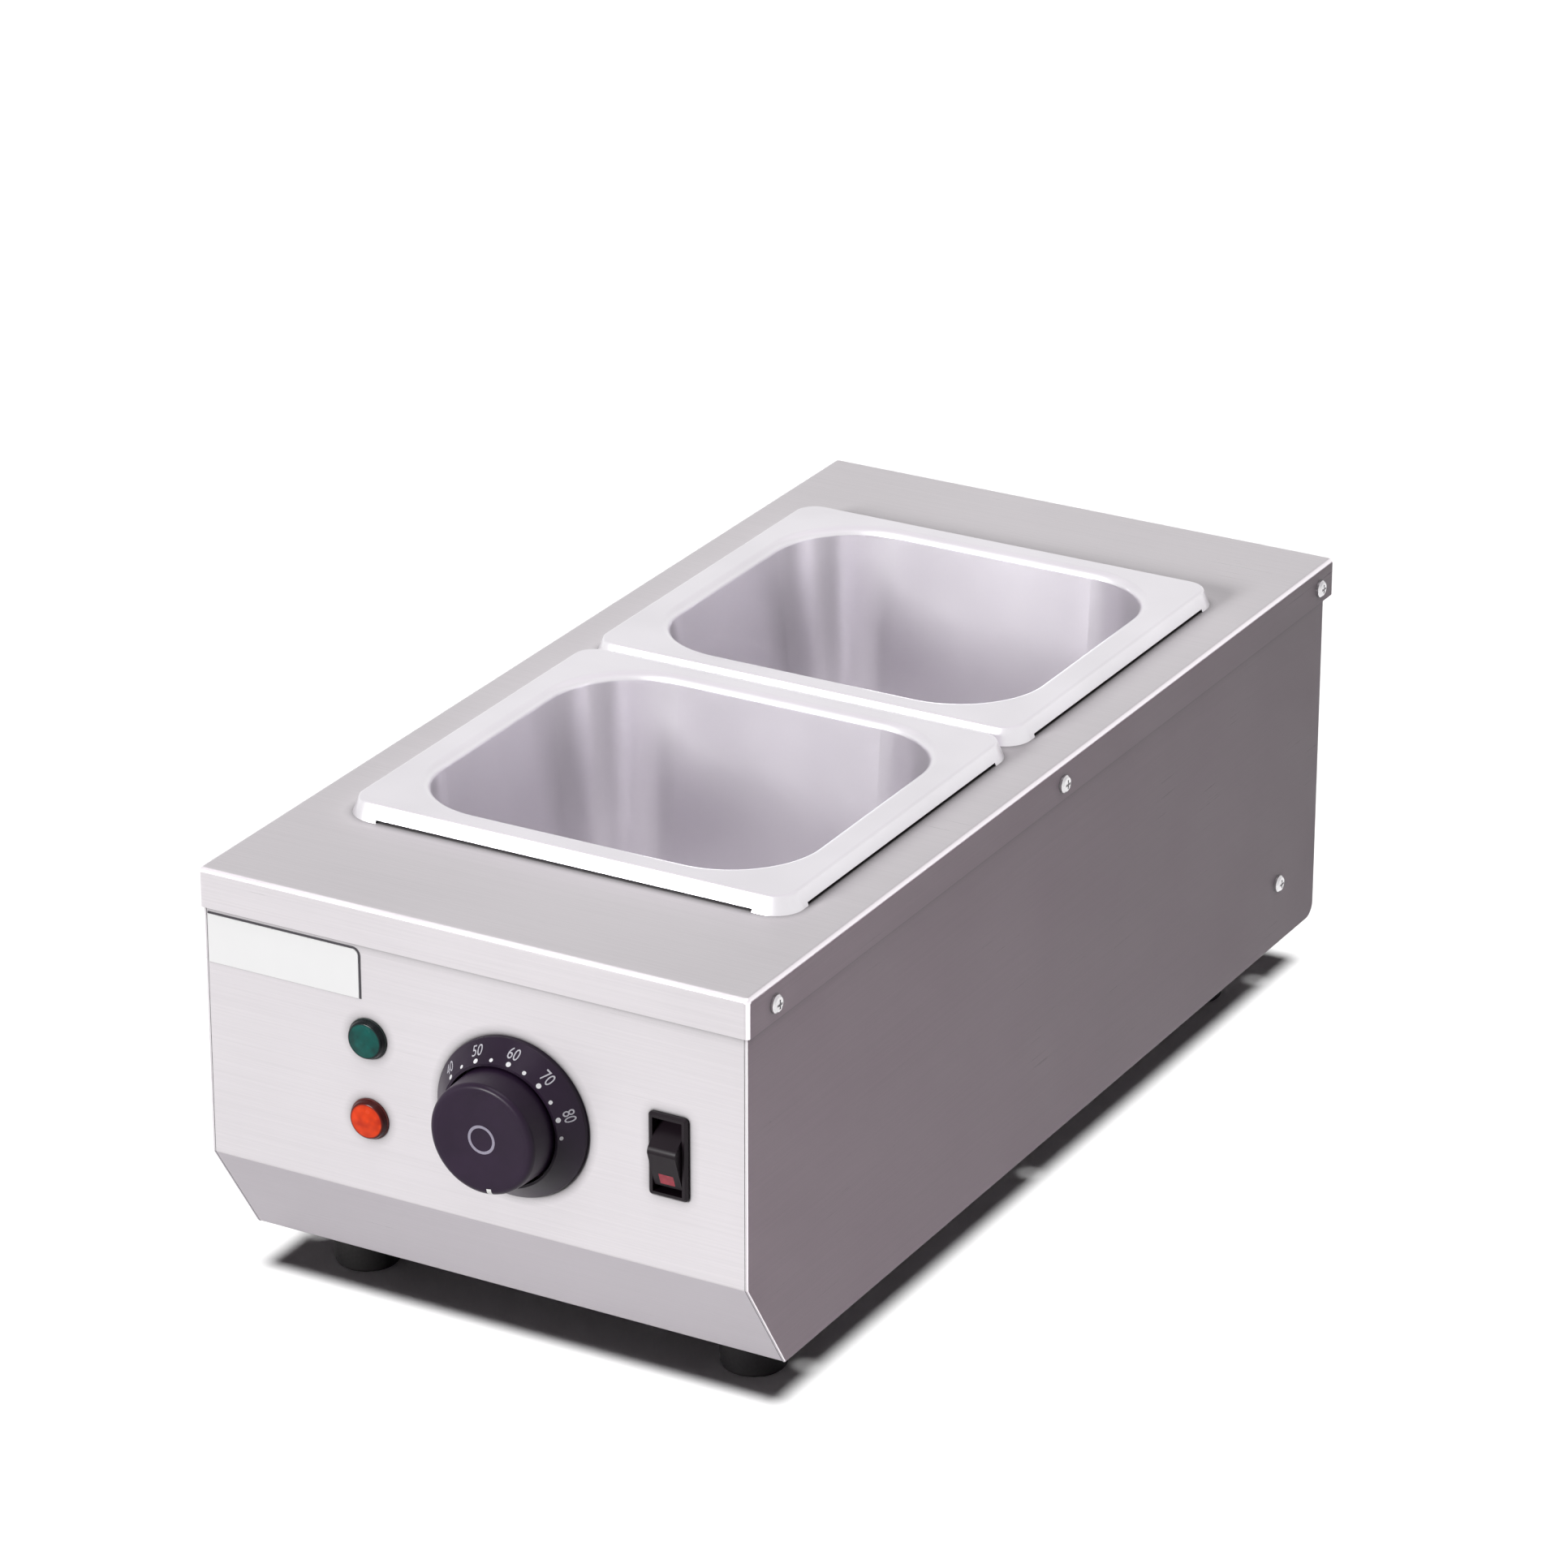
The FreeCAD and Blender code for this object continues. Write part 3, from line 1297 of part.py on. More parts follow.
def terminal_bracket():
    """Folded shelf across the rear of the casing, held by the two low side screws."""
    y = bracket_y()
    half = inner_half - seam_gap
    near, far = y - bracket_half_depth, y + bracket_half_depth
    shelf_z = base_z + side_screw_height + bracket_rise
    path = [(near, shelf_z), (far, shelf_z), (far, shelf_z + bracket_lip)]
    shelf = folded_strip(path, sheet, -half, half)
    for side in (LEFT, RIGHT):
        x0, x1 = sorted((side * half, side * (half - sheet)))
        shelf = shelf.fuse(box(x0, x1, near, far, base_z + side_screw_height - bracket_ear, shelf_z + sheet))
    return drill(shelf, side_screw_places(), screw_radius, 4 * sheet).removeSplitter()


def terminal_block_centre():
    return Vector(terminal_x, bracket_y() - sheet, base_z + side_screw_height + bracket_rise + sheet)


def pole_pitch():
    return terminal_length / terminal_poles


def pole_places():
    middle = (terminal_poles - 1) / 2
    return [terminal_x + (pole - middle) * pole_pitch() for pole in range(terminal_poles)]


def terminal_block():
    """Three-pole connector block with screw towers."""
    centre = terminal_block_centre()
    half_l = terminal_length / 2
    half_d = terminal_depth / 2
    block = box(centre.x - half_l, centre.x + half_l, centre.y - half_d, centre.y + half_d,
                centre.z, centre.z + terminal_height * 0.6)
    hole_z = centre.z + terminal_height / 3
    for x in pole_places():
        tower = pole_pitch() * 0.38
        block = block.fuse(box(x - tower, x + tower, centre.y - half_d * 0.8, centre.y + half_d * 0.8,
                               centre.z, centre.z + terminal_height))
        block = block.cut(rod(terminal_hole_radius, Vector(x, centre.y - terminal_depth, hole_z),
                              Vector(x, centre.y + terminal_depth, hole_z)))
        for dy in (-terminal_screw_offset, terminal_screw_offset):
            block = block.cut(rod(terminal_screw_radius + lap_gap / 2, Vector(x, centre.y + dy, hole_z),
                                  Vector(x, centre.y + dy, centre.z + 2 * terminal_height)))
    return block.removeSplitter()


def terminal_screws():
    centre = terminal_block_centre()
    screws = []
    for x in pole_places():
        for dy in (-terminal_screw_offset, terminal_screw_offset):
            top = Vector(x, centre.y + dy, centre.z + terminal_height * 0.9)
            screw = rod(terminal_screw_radius, top - Vector(0, 0, terminal_height * 0.45), top)
            groove = box(top.x - 2, top.x + 2, top.y - 0.3, top.y + 0.3, top.z - 0.8, top.z + 1)
            screws.append(screw.cut(groove))
    return screws


def earth_stud():
    """Threaded stud and two nuts on the base plate beside the supply entry."""
    foot_point = Vector(gland_x + earth_stud_offset, back_y - earth_stud_inset, base_z + 2 * sheet)
    stud = rod(stud_radius, foot_point, foot_point + Vector(0, 0, earth_stud_height))
    for z in (0.0, nut_height * 1.4):
        stud = stud.fuse(hexagon(nut_flats, foot_point + Vector(0, 0, z), nut_height, Vector(0, 0, 1)))
    return stud


def gland_axis(y):
    return Vector(gland_x, y, gland_z)


def cable_gland():
    """Supply lead's gland: hexagon outside, thread through the back panel and a clamping nose."""
    seat = back_plate_y
    body = hexagon(gland_body_hex, gland_axis(seat), gland_body_flange, Vector(0, 1, 0))
    body = body.fuse(rod(gland_thread, gland_axis(seat - sheet - gland_nose),
                         gland_axis(seat + gland_body_flange + gland_nose)))
    bore = rod(gland_seal_radius, gland_axis(seat - 3 * gland_nose), gland_axis(seat + 4 * gland_nose))
    return body.cut(bore).removeSplitter()


def gland_cap():
    """Domed nut that squeezes the seal on the lead."""
    start = back_plate_y + gland_body_flange
    length = gland_cap_length
    out = Vector(0, 1, 0)
    mouth = gland_mouth_radius
    shell = turned([(gland_thread, 0), (gland_cap_radius, 0), (gland_cap_radius, length * 0.55),
                    (gland_cap_radius * 0.88, length * 0.85), (gland_cap_radius * 0.7, length),
                    (mouth, length), (mouth, length * 0.88), (gland_thread, length * 0.74)],
                   gland_axis(start), out)
    for index in range(6):
        flat = Part.makeBox(2 * gland_cap_radius, length * 0.5, 3,
                            Vector(-gland_cap_radius, 0, gland_cap_radius * 0.93))
        flat.rotate(Vector(0, 0, 0), Vector(0, 1, 0), 60 * index)
        flat.translate(gland_axis(start))
        shell = shell.cut(flat)
    return shell


def gland_seal():
    """Rubber bush in the gland's nose."""
    start = back_plate_y + gland_body_flange - gland_nose / 2
    straight = 1.5 * gland_nose
    collar = gland_seal_radius + 1.2
    end = straight + gland_nut_height
    return turned([(gland_bore_radius, 0), (gland_seal_radius, 0), (gland_seal_radius, straight),
                   (collar, straight + 1.2), (collar, end - 1), (gland_mouth_radius, end),
                   (gland_bore_radius, end)], gland_axis(start), Vector(0, 1, 0))


def gland_locknut():
    inner = back_plate_y - sheet
    nut = hexagon(gland_body_hex, gland_axis(inner), gland_nut_height, Vector(0, -1, 0))
    return nut.cut(rod(gland_thread, gland_axis(inner + 1), gland_axis(inner - gland_nut_height - 1)))


def group(shapes):
    return Part.makeCompound(shapes)


def build():
    nodes = {
        "top_cover": top_cover(),
        "front_panel": front_panel(),
        "left_side_panel": side_panel(LEFT),
        "right_side_panel": side_panel(RIGHT),
        "back_panel": back_panel(),
        "base_plate": base_plate(),
        "foot_screws": group(foot_screws()),
        "foot_nuts": group(foot_nuts()),
        "front_pan": pan(front_pan_y),
        "rear_pan": pan(rear_pan_y),
        "heating_well": heating_well(),
        "well_nuts": group(well_nuts()),
        "insulation_blanket": insulation_blanket(),
        "heating_element": heating_element(),
        "element_rests": group(element_rests()),
        "element_glands": group(element_glands()),
        "element_gland_nuts": group(element_gland_nuts()),
        "element_terminals": group(element_terminals()),
        "thermostat_body": thermostat_body(),
        "thermostat_shaft": thermostat_shaft(),
        "thermostat_screws": group(thermostat_screws()),
        "thermostat_terminals": group(thermostat_terminals()),
        "capillary_tube": capillary_tube(),
        "sensor_bulb": sensor_bulb(),
        "bulb_clips": group(bulb_clips()),
        "bulb_gland": bulb_gland(),
        "thermal_cutout": thermal_cutout(),
        "dial_bezel": dial_bezel(),
        "control_knob": control_knob(),
        "knob_pointer": knob_pointer(),
        "knob_clip": knob_clip(),
        "green_lamp_lens": lamp_lens(RIGHT),
        "orange_lamp_lens": lamp_lens(LEFT),
        "lamp_housings": group(lamp_housings()),
        "lamp_terminals": group(lamp_terminals()),
        "switch_housing": switch_housing(),
        "switch_rocker": switch_rocker(),
        "rocker_lens": rocker_lens(),
        "switch_terminals": group(switch_terminals()),
        "cover_screws": group(cover_screws()),
        "side_screws": group(side_screws()),
        "back_screws": group(back_screws()),
        "base_screws": group(base_screws()),
        "terminal_bracket": terminal_bracket(),
        "terminal_block": terminal_block(),
        "terminal_screws": group(terminal_screws()),
        "earth_stud": earth_stud(),
        "cable_gland": cable_gland(),
        "gland_cap": gland_cap(),
        "gland_seal": gland_seal(),
        "gland_locknut": gland_locknut(),
    }
    names = ("foot_front_left", "foot_rear_left", "foot_front_right", "foot_rear_right")
    for name, place in zip(names, foot_places()):
        nodes[name] = foot(place)
    return nodes


os.makedirs("parts", exist_ok=True)
for node, shape in build().items():
    shape.exportStep("parts/" + node + ".step")
    state = "valid" if shape.isValid() else "NOT VALID"
    print(node, len(shape.Solids), "solids,", state, round(shape.Volume))
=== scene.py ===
"""Looks of the two-pan chocolate melter: materials, printed scale, plate, floor, lamps and camera."""
import math

import bmesh
import bpy
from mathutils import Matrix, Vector


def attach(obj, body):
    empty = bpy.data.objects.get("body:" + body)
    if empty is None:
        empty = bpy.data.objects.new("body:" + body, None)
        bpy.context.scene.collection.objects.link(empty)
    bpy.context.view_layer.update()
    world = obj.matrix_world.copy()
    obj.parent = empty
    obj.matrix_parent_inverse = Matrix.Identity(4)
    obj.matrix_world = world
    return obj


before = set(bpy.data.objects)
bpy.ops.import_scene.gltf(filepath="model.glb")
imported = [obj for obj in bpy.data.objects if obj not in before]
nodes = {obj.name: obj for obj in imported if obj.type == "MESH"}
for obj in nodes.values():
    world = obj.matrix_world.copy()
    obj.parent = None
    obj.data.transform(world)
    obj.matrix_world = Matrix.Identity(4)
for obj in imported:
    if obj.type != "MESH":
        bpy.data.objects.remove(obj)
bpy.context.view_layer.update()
MM = 0.001

# Measures, in millimetres.
DIAL_X = 16.3
CONTROL_Z = 101.5
PANEL_Y = -221.2
LAMP_X = -40.8
LAMP_PITCH = 29.9
# Radii where a lamp lens's bright face ends and the painted shade on its wall begins.
LENS_BRIGHT, LENS_DARK = 5.7, 6.25
CONE_OUTER, CONE_INNER = (29.0, 1.8), (22.5, 9.2)
KNOB_FACE = 20.6
KNOB_DISH_BALL = 235.5
RING_MARK = (4.2, 5.2)
RING_SIDES = 64
RING_LIFT = 0.05
RING_THICKNESS = 0.04
DOT_RING = 23.4
LARGE_DOT, SMALL_DOT = 0.9, 0.7
DOT_SIDES = 20
NUMBER_RING = 26.1
NUMBER_WIDTH, NUMBER_HEIGHT = 4.2, 4.3
INK_LIFT = 0.06
INK_THICKNESS = 0.03
PLATE_LEFT, PLATE_RIGHT = -104.2, -43.9
PLATE_LOW, PLATE_HIGH = 130.6, 148.5
PLATE_CORNER = 2.2
CORNER_STEPS = 8
PLATE_THICKNESS = 0.22
PLATE_LIFT = 0.02
PLATE_EDGE = 0.08
# Painted shadow strip beside the plate: its reach from the plate's edge and its thickness.
LINE_START, LINE_END = 0.12, 0.80
LINE_THICKNESS = 0.12
CAMERA_PLACE = (1067.8, -1905.8, 1087.4)
CAMERA_AIM = (-0.98, -7.5, 136.9)
CAMERA_LENS = 152.7
FLOOR_REACH = 12000.0


# Node building.
class Graph:
    """A material's node tree, with short calls for the nodes that are used over and over."""

    def __init__(self, name):
        self.material = bpy.data.materials.new(name)
        self.material.use_nodes = True
        self.tree = self.material.node_tree
        self.tree.nodes.clear()
        self.output = self.tree.nodes.new("ShaderNodeOutputMaterial")
        self.coords = self.tree.nodes.new("ShaderNodeTexCoord").outputs["Object"]

    def add(self, kind, inputs=(), **settings):
        node = self.tree.nodes.new(kind)
        for key, value in settings.items():
            setattr(node, key, value)
        for key, value in dict(inputs).items():
            if isinstance(value, bpy.types.NodeSocket):
                self.tree.links.new(value, node.inputs[key])
            else:
                node.inputs[key].default_value = value
        return node

    def stretched(self, scale):
        return self.add("ShaderNodeMapping", {"Vector": self.coords, "Scale": scale}).outputs[0]

    def noise(self, scale, detail=3.0, roughness=0.55, vector=None):
        inputs = {"Vector": vector or self.coords, "Scale": scale, "Detail": detail, "Roughness": roughness}
        return self.add("ShaderNodeTexNoise", inputs).outputs["Fac"]

    def spread(self, value, low, high, start=0.0, end=1.0):
        """The value taken from start..end to low..high."""
        return self.add("ShaderNodeMapRange", {"Value": value, "From Min": start, "From Max": end,
                                               "To Min": low, "To Max": high}).outputs["Result"]

    def mix(self, share, first, second):
        """Blend of two colours: the first where share is 0, the second where it is 1."""
        return self.blend("MIX", share, first, second)

    def tinted(self, share, base, tint):
        """The base colour multiplied by the tint, where share is 1."""
        return self.blend("MULTIPLY", share, base, tint)

    def blend(self, kind, share, first, second):
        inputs = {"Factor": share, 6: first, 7: second}
        return self.add("ShaderNodeMix", inputs, data_type="RGBA", blend_type=kind).outputs[2]

    def maths(self, operation, first, second):
        return self.add("ShaderNodeMath", {0: first, 1: second}, operation=operation).outputs[0]

    def bump(self, height, distance, strength=1.0):
        return self.add("ShaderNodeBump", {"Height": height, "Distance": distance,
                                           "Strength": strength}).outputs["Normal"]

    def principled(self, inputs):
        shader = self.add("ShaderNodeBsdfPrincipled", inputs)
        self.tree.links.new(shader.outputs[0], self.output.inputs["Surface"])
        return self.material


def colour(red, green, blue):
    return (red, green, blue, 1.0)


def shade(tint, amount):
    return colour(*[channel * amount for channel in tint[:3]])


def sheet_steel(name, tint, metallic, rough, grain=0.5):
    """Brushed stainless sheet: hair-fine lines along X on flat and front faces, along Y on the long sides.

    Folds carry a painted highlight with more metal, creases under laps carry painted shade, the long sides
    carry painted shade that deepens to the rear, and faces turned downwards carry painted shade.
    """
    g = Graph(name)
    across = g.noise(1.0, 5.0, 0.65, g.stretched((14.0, 1500.0, 1500.0)))
    along = g.noise(1.0, 5.0, 0.65, g.stretched((1500.0, 14.0, 1500.0)))
    facing = g.add("ShaderNodeNewGeometry").outputs["True Normal"]
    normal = g.add("ShaderNodeSeparateXYZ", {0: facing}).outputs
    sideways = g.maths("ABSOLUTE", normal["X"], 0.0)
    ahead = g.maths("ABSOLUTE", normal["Y"], 0.0)
    up = g.maths("MAXIMUM", normal["Z"], 0.0)
    pick = g.spread(sideways, 0.0, 1.0, 0.6, 0.8)
    lines = g.add("ShaderNodeMix", {"Factor": pick, 2: across, 3: along}).outputs[0]
    cloud = g.noise(9.0, 2.0)
    drawn = g.spread(lines, -grain, grain, 0.25, 0.75)
    shift = g.maths("ADD", drawn, g.spread(cloud, -0.35, 0.35, 0.3, 0.7))
    base = g.mix(g.maths("ADD", shift, 0.5), shade(tint, 0.955), shade(tint, 1.035))
    # Painted shade: faces turned sideways are tinted mauve and darkened, more so towards the rear.
    depth = g.add("ShaderNodeSeparateXYZ", {0: g.coords}).outputs["Y"]
    rearward = g.spread(depth, 0.0, 1.0, PANEL_Y * MM, -PANEL_Y * MM)
    painted_side_shade = g.mix(rearward, colour(1.0, 0.84, 0.93), colour(0.52, 0.435, 0.485))
    base = g.tinted(pick, base, painted_side_shade)
    # Painted shade on faces turned downwards, such as the front slope.
    painted_underside_shade = g.spread(g.maths("MULTIPLY", normal["Z"], -1.0), 0.0, 1.0, 0.3, 0.5)
    base = g.tinted(painted_underside_shade, base, colour(0.82, 0.80, 0.83))
    # Painted highlight along the rounded folds: a lighter colour and more metal where the normal lies
    # between two faces.
    folds = g.maths("ADD", g.maths("MULTIPLY", sideways, up), g.maths("MULTIPLY", ahead, up))
    folds = g.maths("ADD", folds, g.maths("MULTIPLY", sideways, ahead))
    painted_fold_highlight = g.spread(folds, 0.0, 1.0, 0.22, 0.42)
    base = g.mix(painted_fold_highlight, base, shade(tint, 1.25))
    # Painted shade in creases and under laps, from the ambient occlusion.
    open_share = g.add("ShaderNodeAmbientOcclusion", {"Distance": 0.004}, samples=8).outputs["AO"]
    base = g.mix(g.spread(open_share, 0.0, 1.0, 0.5, 0.97), shade(tint, 0.1), base)
    smudge = g.noise(23.0, 4.0)
    roughness = g.maths("ADD", g.spread(lines, -0.05, 0.05, 0.3, 0.7),
                        g.spread(smudge, rough - 0.04, rough + 0.04, 0.3, 0.7))
    return g.principled({"Base Color": base, "Metallic": g.spread(painted_fold_highlight, metallic, 1.0),
                         "Roughness": roughness, "Specular IOR Level": g.spread(pick, 0.25, 0.20),
                         "Normal": g.bump(lines, 0.00002, 0.35)})


def polished_steel(name, tint, rough):
    """Drawn and polished stainless: soft cloudy polish, with painted shade in its narrow creases."""
    g = Graph(name)
    draw = g.noise(1.0, 2.0, 0.5, g.stretched((60.0, 60.0, 9.0)))
    wipe = g.noise(22.0, 2.0)
    base = g.mix(g.spread(wipe, 0.0, 1.0, 0.3, 0.7), shade(tint, 0.96), shade(tint, 1.03))
    # Painted shade in narrow creases, such as under the rims, from the ambient occlusion.
    open_share = g.add("ShaderNodeAmbientOcclusion", {"Distance": 0.003}, samples=8).outputs["AO"]
    base = g.mix(g.spread(open_share, 0.0, 1.0, 0.25, 0.6), shade(tint, 0.2), base)
    roughness = g.maths("ADD", g.spread(draw, -0.01, 0.01, 0.2, 0.8),
                        g.spread(wipe, rough - 0.01, rough + 0.015, 0.2, 0.8))
    return g.principled({"Base Color": base, "Metallic": 1.0, "Roughness": roughness})


def worked_metal(name, tint, rough, stain, metallic=1.0):
    """Small metal parts: plated or heat-stained, with uneven patches."""
    g = Graph(name)
    patch = g.noise(180.0, 4.0)
    fine = g.noise(1400.0, 3.0)
    base = g.mix(g.spread(patch, 0.0, 1.0, 0.35, 0.7), tint, stain)
    return g.principled({"Base Color": base, "Metallic": metallic,
                         "Roughness": g.spread(patch, rough - 0.05, rough + 0.09, 0.3, 0.7),
                         "Normal": g.bump(fine, 0.00002, 0.4)})


def moulded(name, tint, rough, texture=0.00003, specular=0.5):
    """Moulded plastic: spark-eroded grain, slight flow clouds, handled sheen."""
    g = Graph(name)
    grain = g.noise(2600.0, 2.0)
    flow = g.noise(70.0, 3.0)
    base = g.mix(g.spread(flow, 0.0, 1.0, 0.3, 0.7), shade(tint, 0.86), shade(tint, 1.14))
    roughness = g.spread(flow, rough - 0.04, rough + 0.06, 0.3, 0.7)
    return g.principled({"Base Color": base, "Roughness": roughness, "Specular IOR Level": specular,
                         "Normal": g.bump(grain, texture, 0.5)})


def jewel(name, deep, bright, glow):
    """Translucent moulding: small inner facets and a smooth wet face."""
    g = Graph(name)
    base, cloud, facets = jewel_body(g, deep, bright)
    return g.principled({"Base Color": base, "Roughness": g.spread(cloud, 0.2, 0.28, 0.3, 0.7),
                         "Specular IOR Level": 0.3, "Emission Color": bright,
                         "Emission Strength": glow, "Normal": g.bump(facets, 0.00004, 0.2)})


def jewel_body(g, deep, bright):
    """Base colour, inner clouds and facets that every jewel shares."""
    cells = g.add("ShaderNodeTexVoronoi", {"Vector": g.coords, "Scale": 420.0}, feature="SMOOTH_F1")
    facets = g.spread(cells.outputs["Distance"], 0.0, 1.0, 0.1, 0.6)
    cloud = g.noise(190.0, 2.0)
    body = g.mix(g.spread(cloud, 0.0, 1.0, 0.3, 0.7), deep, bright)
    return g.mix(facets, shade(bright, 1.12), body), cloud, facets


def lamp_lens(name, height, deep, bright, painted_wall_shade, glow):
    """Lamp lens: bright round face and a near-black wall of painted shade, split by the distance from the
    lamp's axis.
    """
    g = Graph(name)
    base, cloud, facets = jewel_body(g, deep, bright)
    parts = g.add("ShaderNodeSeparateXYZ", {0: g.coords}).outputs
    out_x = g.maths("SUBTRACT", parts["X"], LAMP_X * MM)
    out_z = g.maths("SUBTRACT", parts["Z"], height * MM)
    square = g.maths("ADD", g.maths("MULTIPLY", out_x, out_x), g.maths("MULTIPLY", out_z, out_z))
    away = g.maths("SQRT", square, 0.0)
    edge = g.spread(away, 0.0, 1.0, LENS_BRIGHT * MM, LENS_DARK * MM)
    # Painted shade: the lens wall beyond the face is darkened to near-black.
    base = g.mix(edge, base, painted_wall_shade)
    glow_share = g.spread(edge, glow, 0.0)
    return g.principled({"Base Color": base, "Roughness": g.spread(cloud, 0.2, 0.28, 0.3, 0.7),
                         "Specular IOR Level": 0.22, "Emission Color": bright,
                         "Emission Strength": glow_share, "Normal": g.bump(facets, 0.00004, 0.2)})


def lamp_rims():
    """Dark rims, each in the colour of its own lens, split by height."""
    g = Graph("lamp_rim_plastic")
    height = g.add("ShaderNodeSeparateXYZ", {0: g.coords}).outputs["Z"]
    upper = g.spread(height, 0.0, 1.0, CONTROL_Z * MM - 0.001, CONTROL_Z * MM + 0.001)
    grain = g.noise(1800.0, 2.0)
    base = g.mix(upper, colour(0.13, 0.008, 0.004), colour(0.006, 0.02, 0.016))
    base = g.mix(g.spread(grain, 0.0, 0.3, 0.3, 0.7), base, colour(0.03, 0.028, 0.03))
    return g.principled({"Base Color": base, "Roughness": g.spread(grain, 0.25, 0.36, 0.3, 0.7),
                         "Normal": g.bump(grain, 0.00002, 0.4)})


def rubber(name):
    """Black rubber: fine matt grain with a little dust."""
    g = Graph(name)
    grain = g.noise(900.0, 4.0)
    dust = g.noise(45.0, 4.0)
    dusty = g.spread(dust, 0.0, 1.0, 0.4, 0.75)
    base = g.mix(dusty, colour(0.006, 0.005, 0.006), colour(0.013, 0.012, 0.012))
    return g.principled({"Base Color": base, "Roughness": g.spread(grain, 0.6, 0.78, 0.3, 0.7),
                         "Specular IOR Level": 0.2, "Normal": g.bump(grain, 0.00006, 0.6)})


def fibre_mat():
    """Glass-fibre blanket: matted strands in two directions."""
    g = Graph("fibre_mat")
    first = g.noise(1.0, 4.0, 0.6, g.stretched((90.0, 500.0, 500.0)))
    second = g.noise(1.0, 4.0, 0.6, g.stretched((500.0, 90.0, 300.0)))
    strands = g.maths("MAXIMUM", first, second)
    share = g.spread(strands, 0.0, 1.0, 0.35, 0.75)
    base = g.mix(share, colour(0.62, 0.59, 0.50), colour(0.90, 0.88, 0.80))
    return g.principled({"Base Color": base, "Roughness": 0.92, "Normal": g.bump(strands, 0.0006, 0.8)})


def film(name):
    """Smooth white film with a barely uneven sheen."""
    g = Graph(name)
    sheen = g.noise(35.0, 2.0)
    share = g.spread(sheen, 0.0, 1.0, 0.3, 0.7)
    base = g.mix(share, colour(0.92, 0.92, 0.92), colour(0.95, 0.95, 0.95))
    return g.principled({"Base Color": base, "Roughness": g.spread(sheen, 0.30, 0.36, 0.3, 0.7),
                         "Normal": g.bump(g.noise(1400.0, 2.0), 0.00001, 0.3)})


def printed(name, tint, rough=0.5):
    """Screen-printed ink: slightly uneven cover."""
    g = Graph(name)
    wear = g.noise(1500.0, 3.0)
    base = g.mix(g.spread(wear, 0.0, 1.0, 0.35, 0.7), shade(tint, 0.82), tint)
    return g.principled({"Base Color": base, "Roughness": g.spread(wear, rough, rough + 0.1, 0.3, 0.7)})


steel = colour(0.80, 0.765, 0.79)
looks = {
    # These three sheet steels carry painted shade on sides, undersides and creases, and a painted highlight
    # on their folds.
    "casing": sheet_steel("casing_sheet", steel, 0.10, 0.34),
    "side": sheet_steel("side_sheet", steel, 0.10, 0.34),
    "well": sheet_steel("well_sheet", colour(0.66, 0.65, 0.66), 0.7, 0.38),
    # The pan polish carries painted shade in its creases.
    "pan": polished_steel("pan_polish", colour(0.83, 0.81, 0.84), 0.305),
    "element": worked_metal("element_tube", colour(0.42, 0.39, 0.36), 0.38, colour(0.26, 0.20, 0.17)),
    "screw": worked_metal("bright_screw", colour(0.80, 0.79, 0.80), 0.24, colour(0.62, 0.61, 0.62)),
    "brass": worked_metal("brass_fittings", colour(0.72, 0.52, 0.22), 0.3, colour(0.52, 0.34, 0.13)),
    "fibre": fibre_mat(),
    "knob": moulded("knob_moulding", colour(0.021, 0.010, 0.027), 0.34, 0.00002, specular=0.2),
    "dial": moulded("dial_moulding", colour(0.020, 0.011, 0.025), 0.30, 0.00002, specular=0.2),
    "black": moulded("black_moulding", colour(0.030, 0.028, 0.030), 0.5),
    "switch": moulded("switch_moulding", colour(0.008, 0.004, 0.007), 0.36, specular=0.25),
    "rocker": moulded("rocker_moulding", colour(0.009, 0.005, 0.008), 0.38, specular=0.17),
    "white": moulded("white_moulding", colour(0.86, 0.86, 0.84), 0.42),
    "rims": lamp_rims(),
    # The third colour of each lens is the painted shade on its wall.
    "green": lamp_lens("green_lens", CONTROL_Z + LAMP_PITCH / 2, colour(0.001, 0.042, 0.037),
                       colour(0.002, 0.095, 0.08), colour(0.0003, 0.004, 0.005), 0.02),
    "orange": lamp_lens("orange_lens", CONTROL_Z - LAMP_PITCH / 2, colour(0.52, 0.022, 0.003),
                        colour(0.76, 0.055, 0.008), colour(0.06, 0.002, 0.001), 0.04),
    "red": jewel("red_window", colour(0.13, 0.012, 0.022), colour(0.34, 0.025, 0.045), 0.10),
    "rubber": rubber("foot_rubber"),
}
wearers = {
    "casing": "top_cover front_panel back_panel base_plate",
    "side": "left_side_panel right_side_panel",
    "well": "heating_well element_rests bulb_clips terminal_bracket",
    "pan": "front_pan rear_pan",
    "element": "heating_element sensor_bulb capillary_tube",
    "screw": "cover_screws side_screws back_screws base_screws foot_screws foot_nuts well_nuts "
             "thermostat_screws terminal_screws earth_stud knob_clip thermostat_shaft",
    "brass": "element_glands element_gland_nuts bulb_gland element_terminals thermostat_terminals "
             "lamp_terminals switch_terminals",
    "fibre": "insulation_blanket",
    "knob": "control_knob",
    "dial": "dial_bezel",
    "black": "cable_gland gland_cap gland_locknut thermostat_body thermal_cutout",
    "switch": "switch_housing",
    "rocker": "switch_rocker",
    "white": "knob_pointer terminal_block",
    "rims": "lamp_housings",
    "green": "green_lamp_lens",
    "orange": "orange_lamp_lens",
    "red": "rocker_lens",
    "rubber": "foot_front_left foot_rear_left foot_front_right foot_rear_right gland_seal",
}
for look, names in wearers.items():
    for name in names.split():
        nodes[name].data.materials.clear()
        nodes[name].data.materials.append(looks[look])


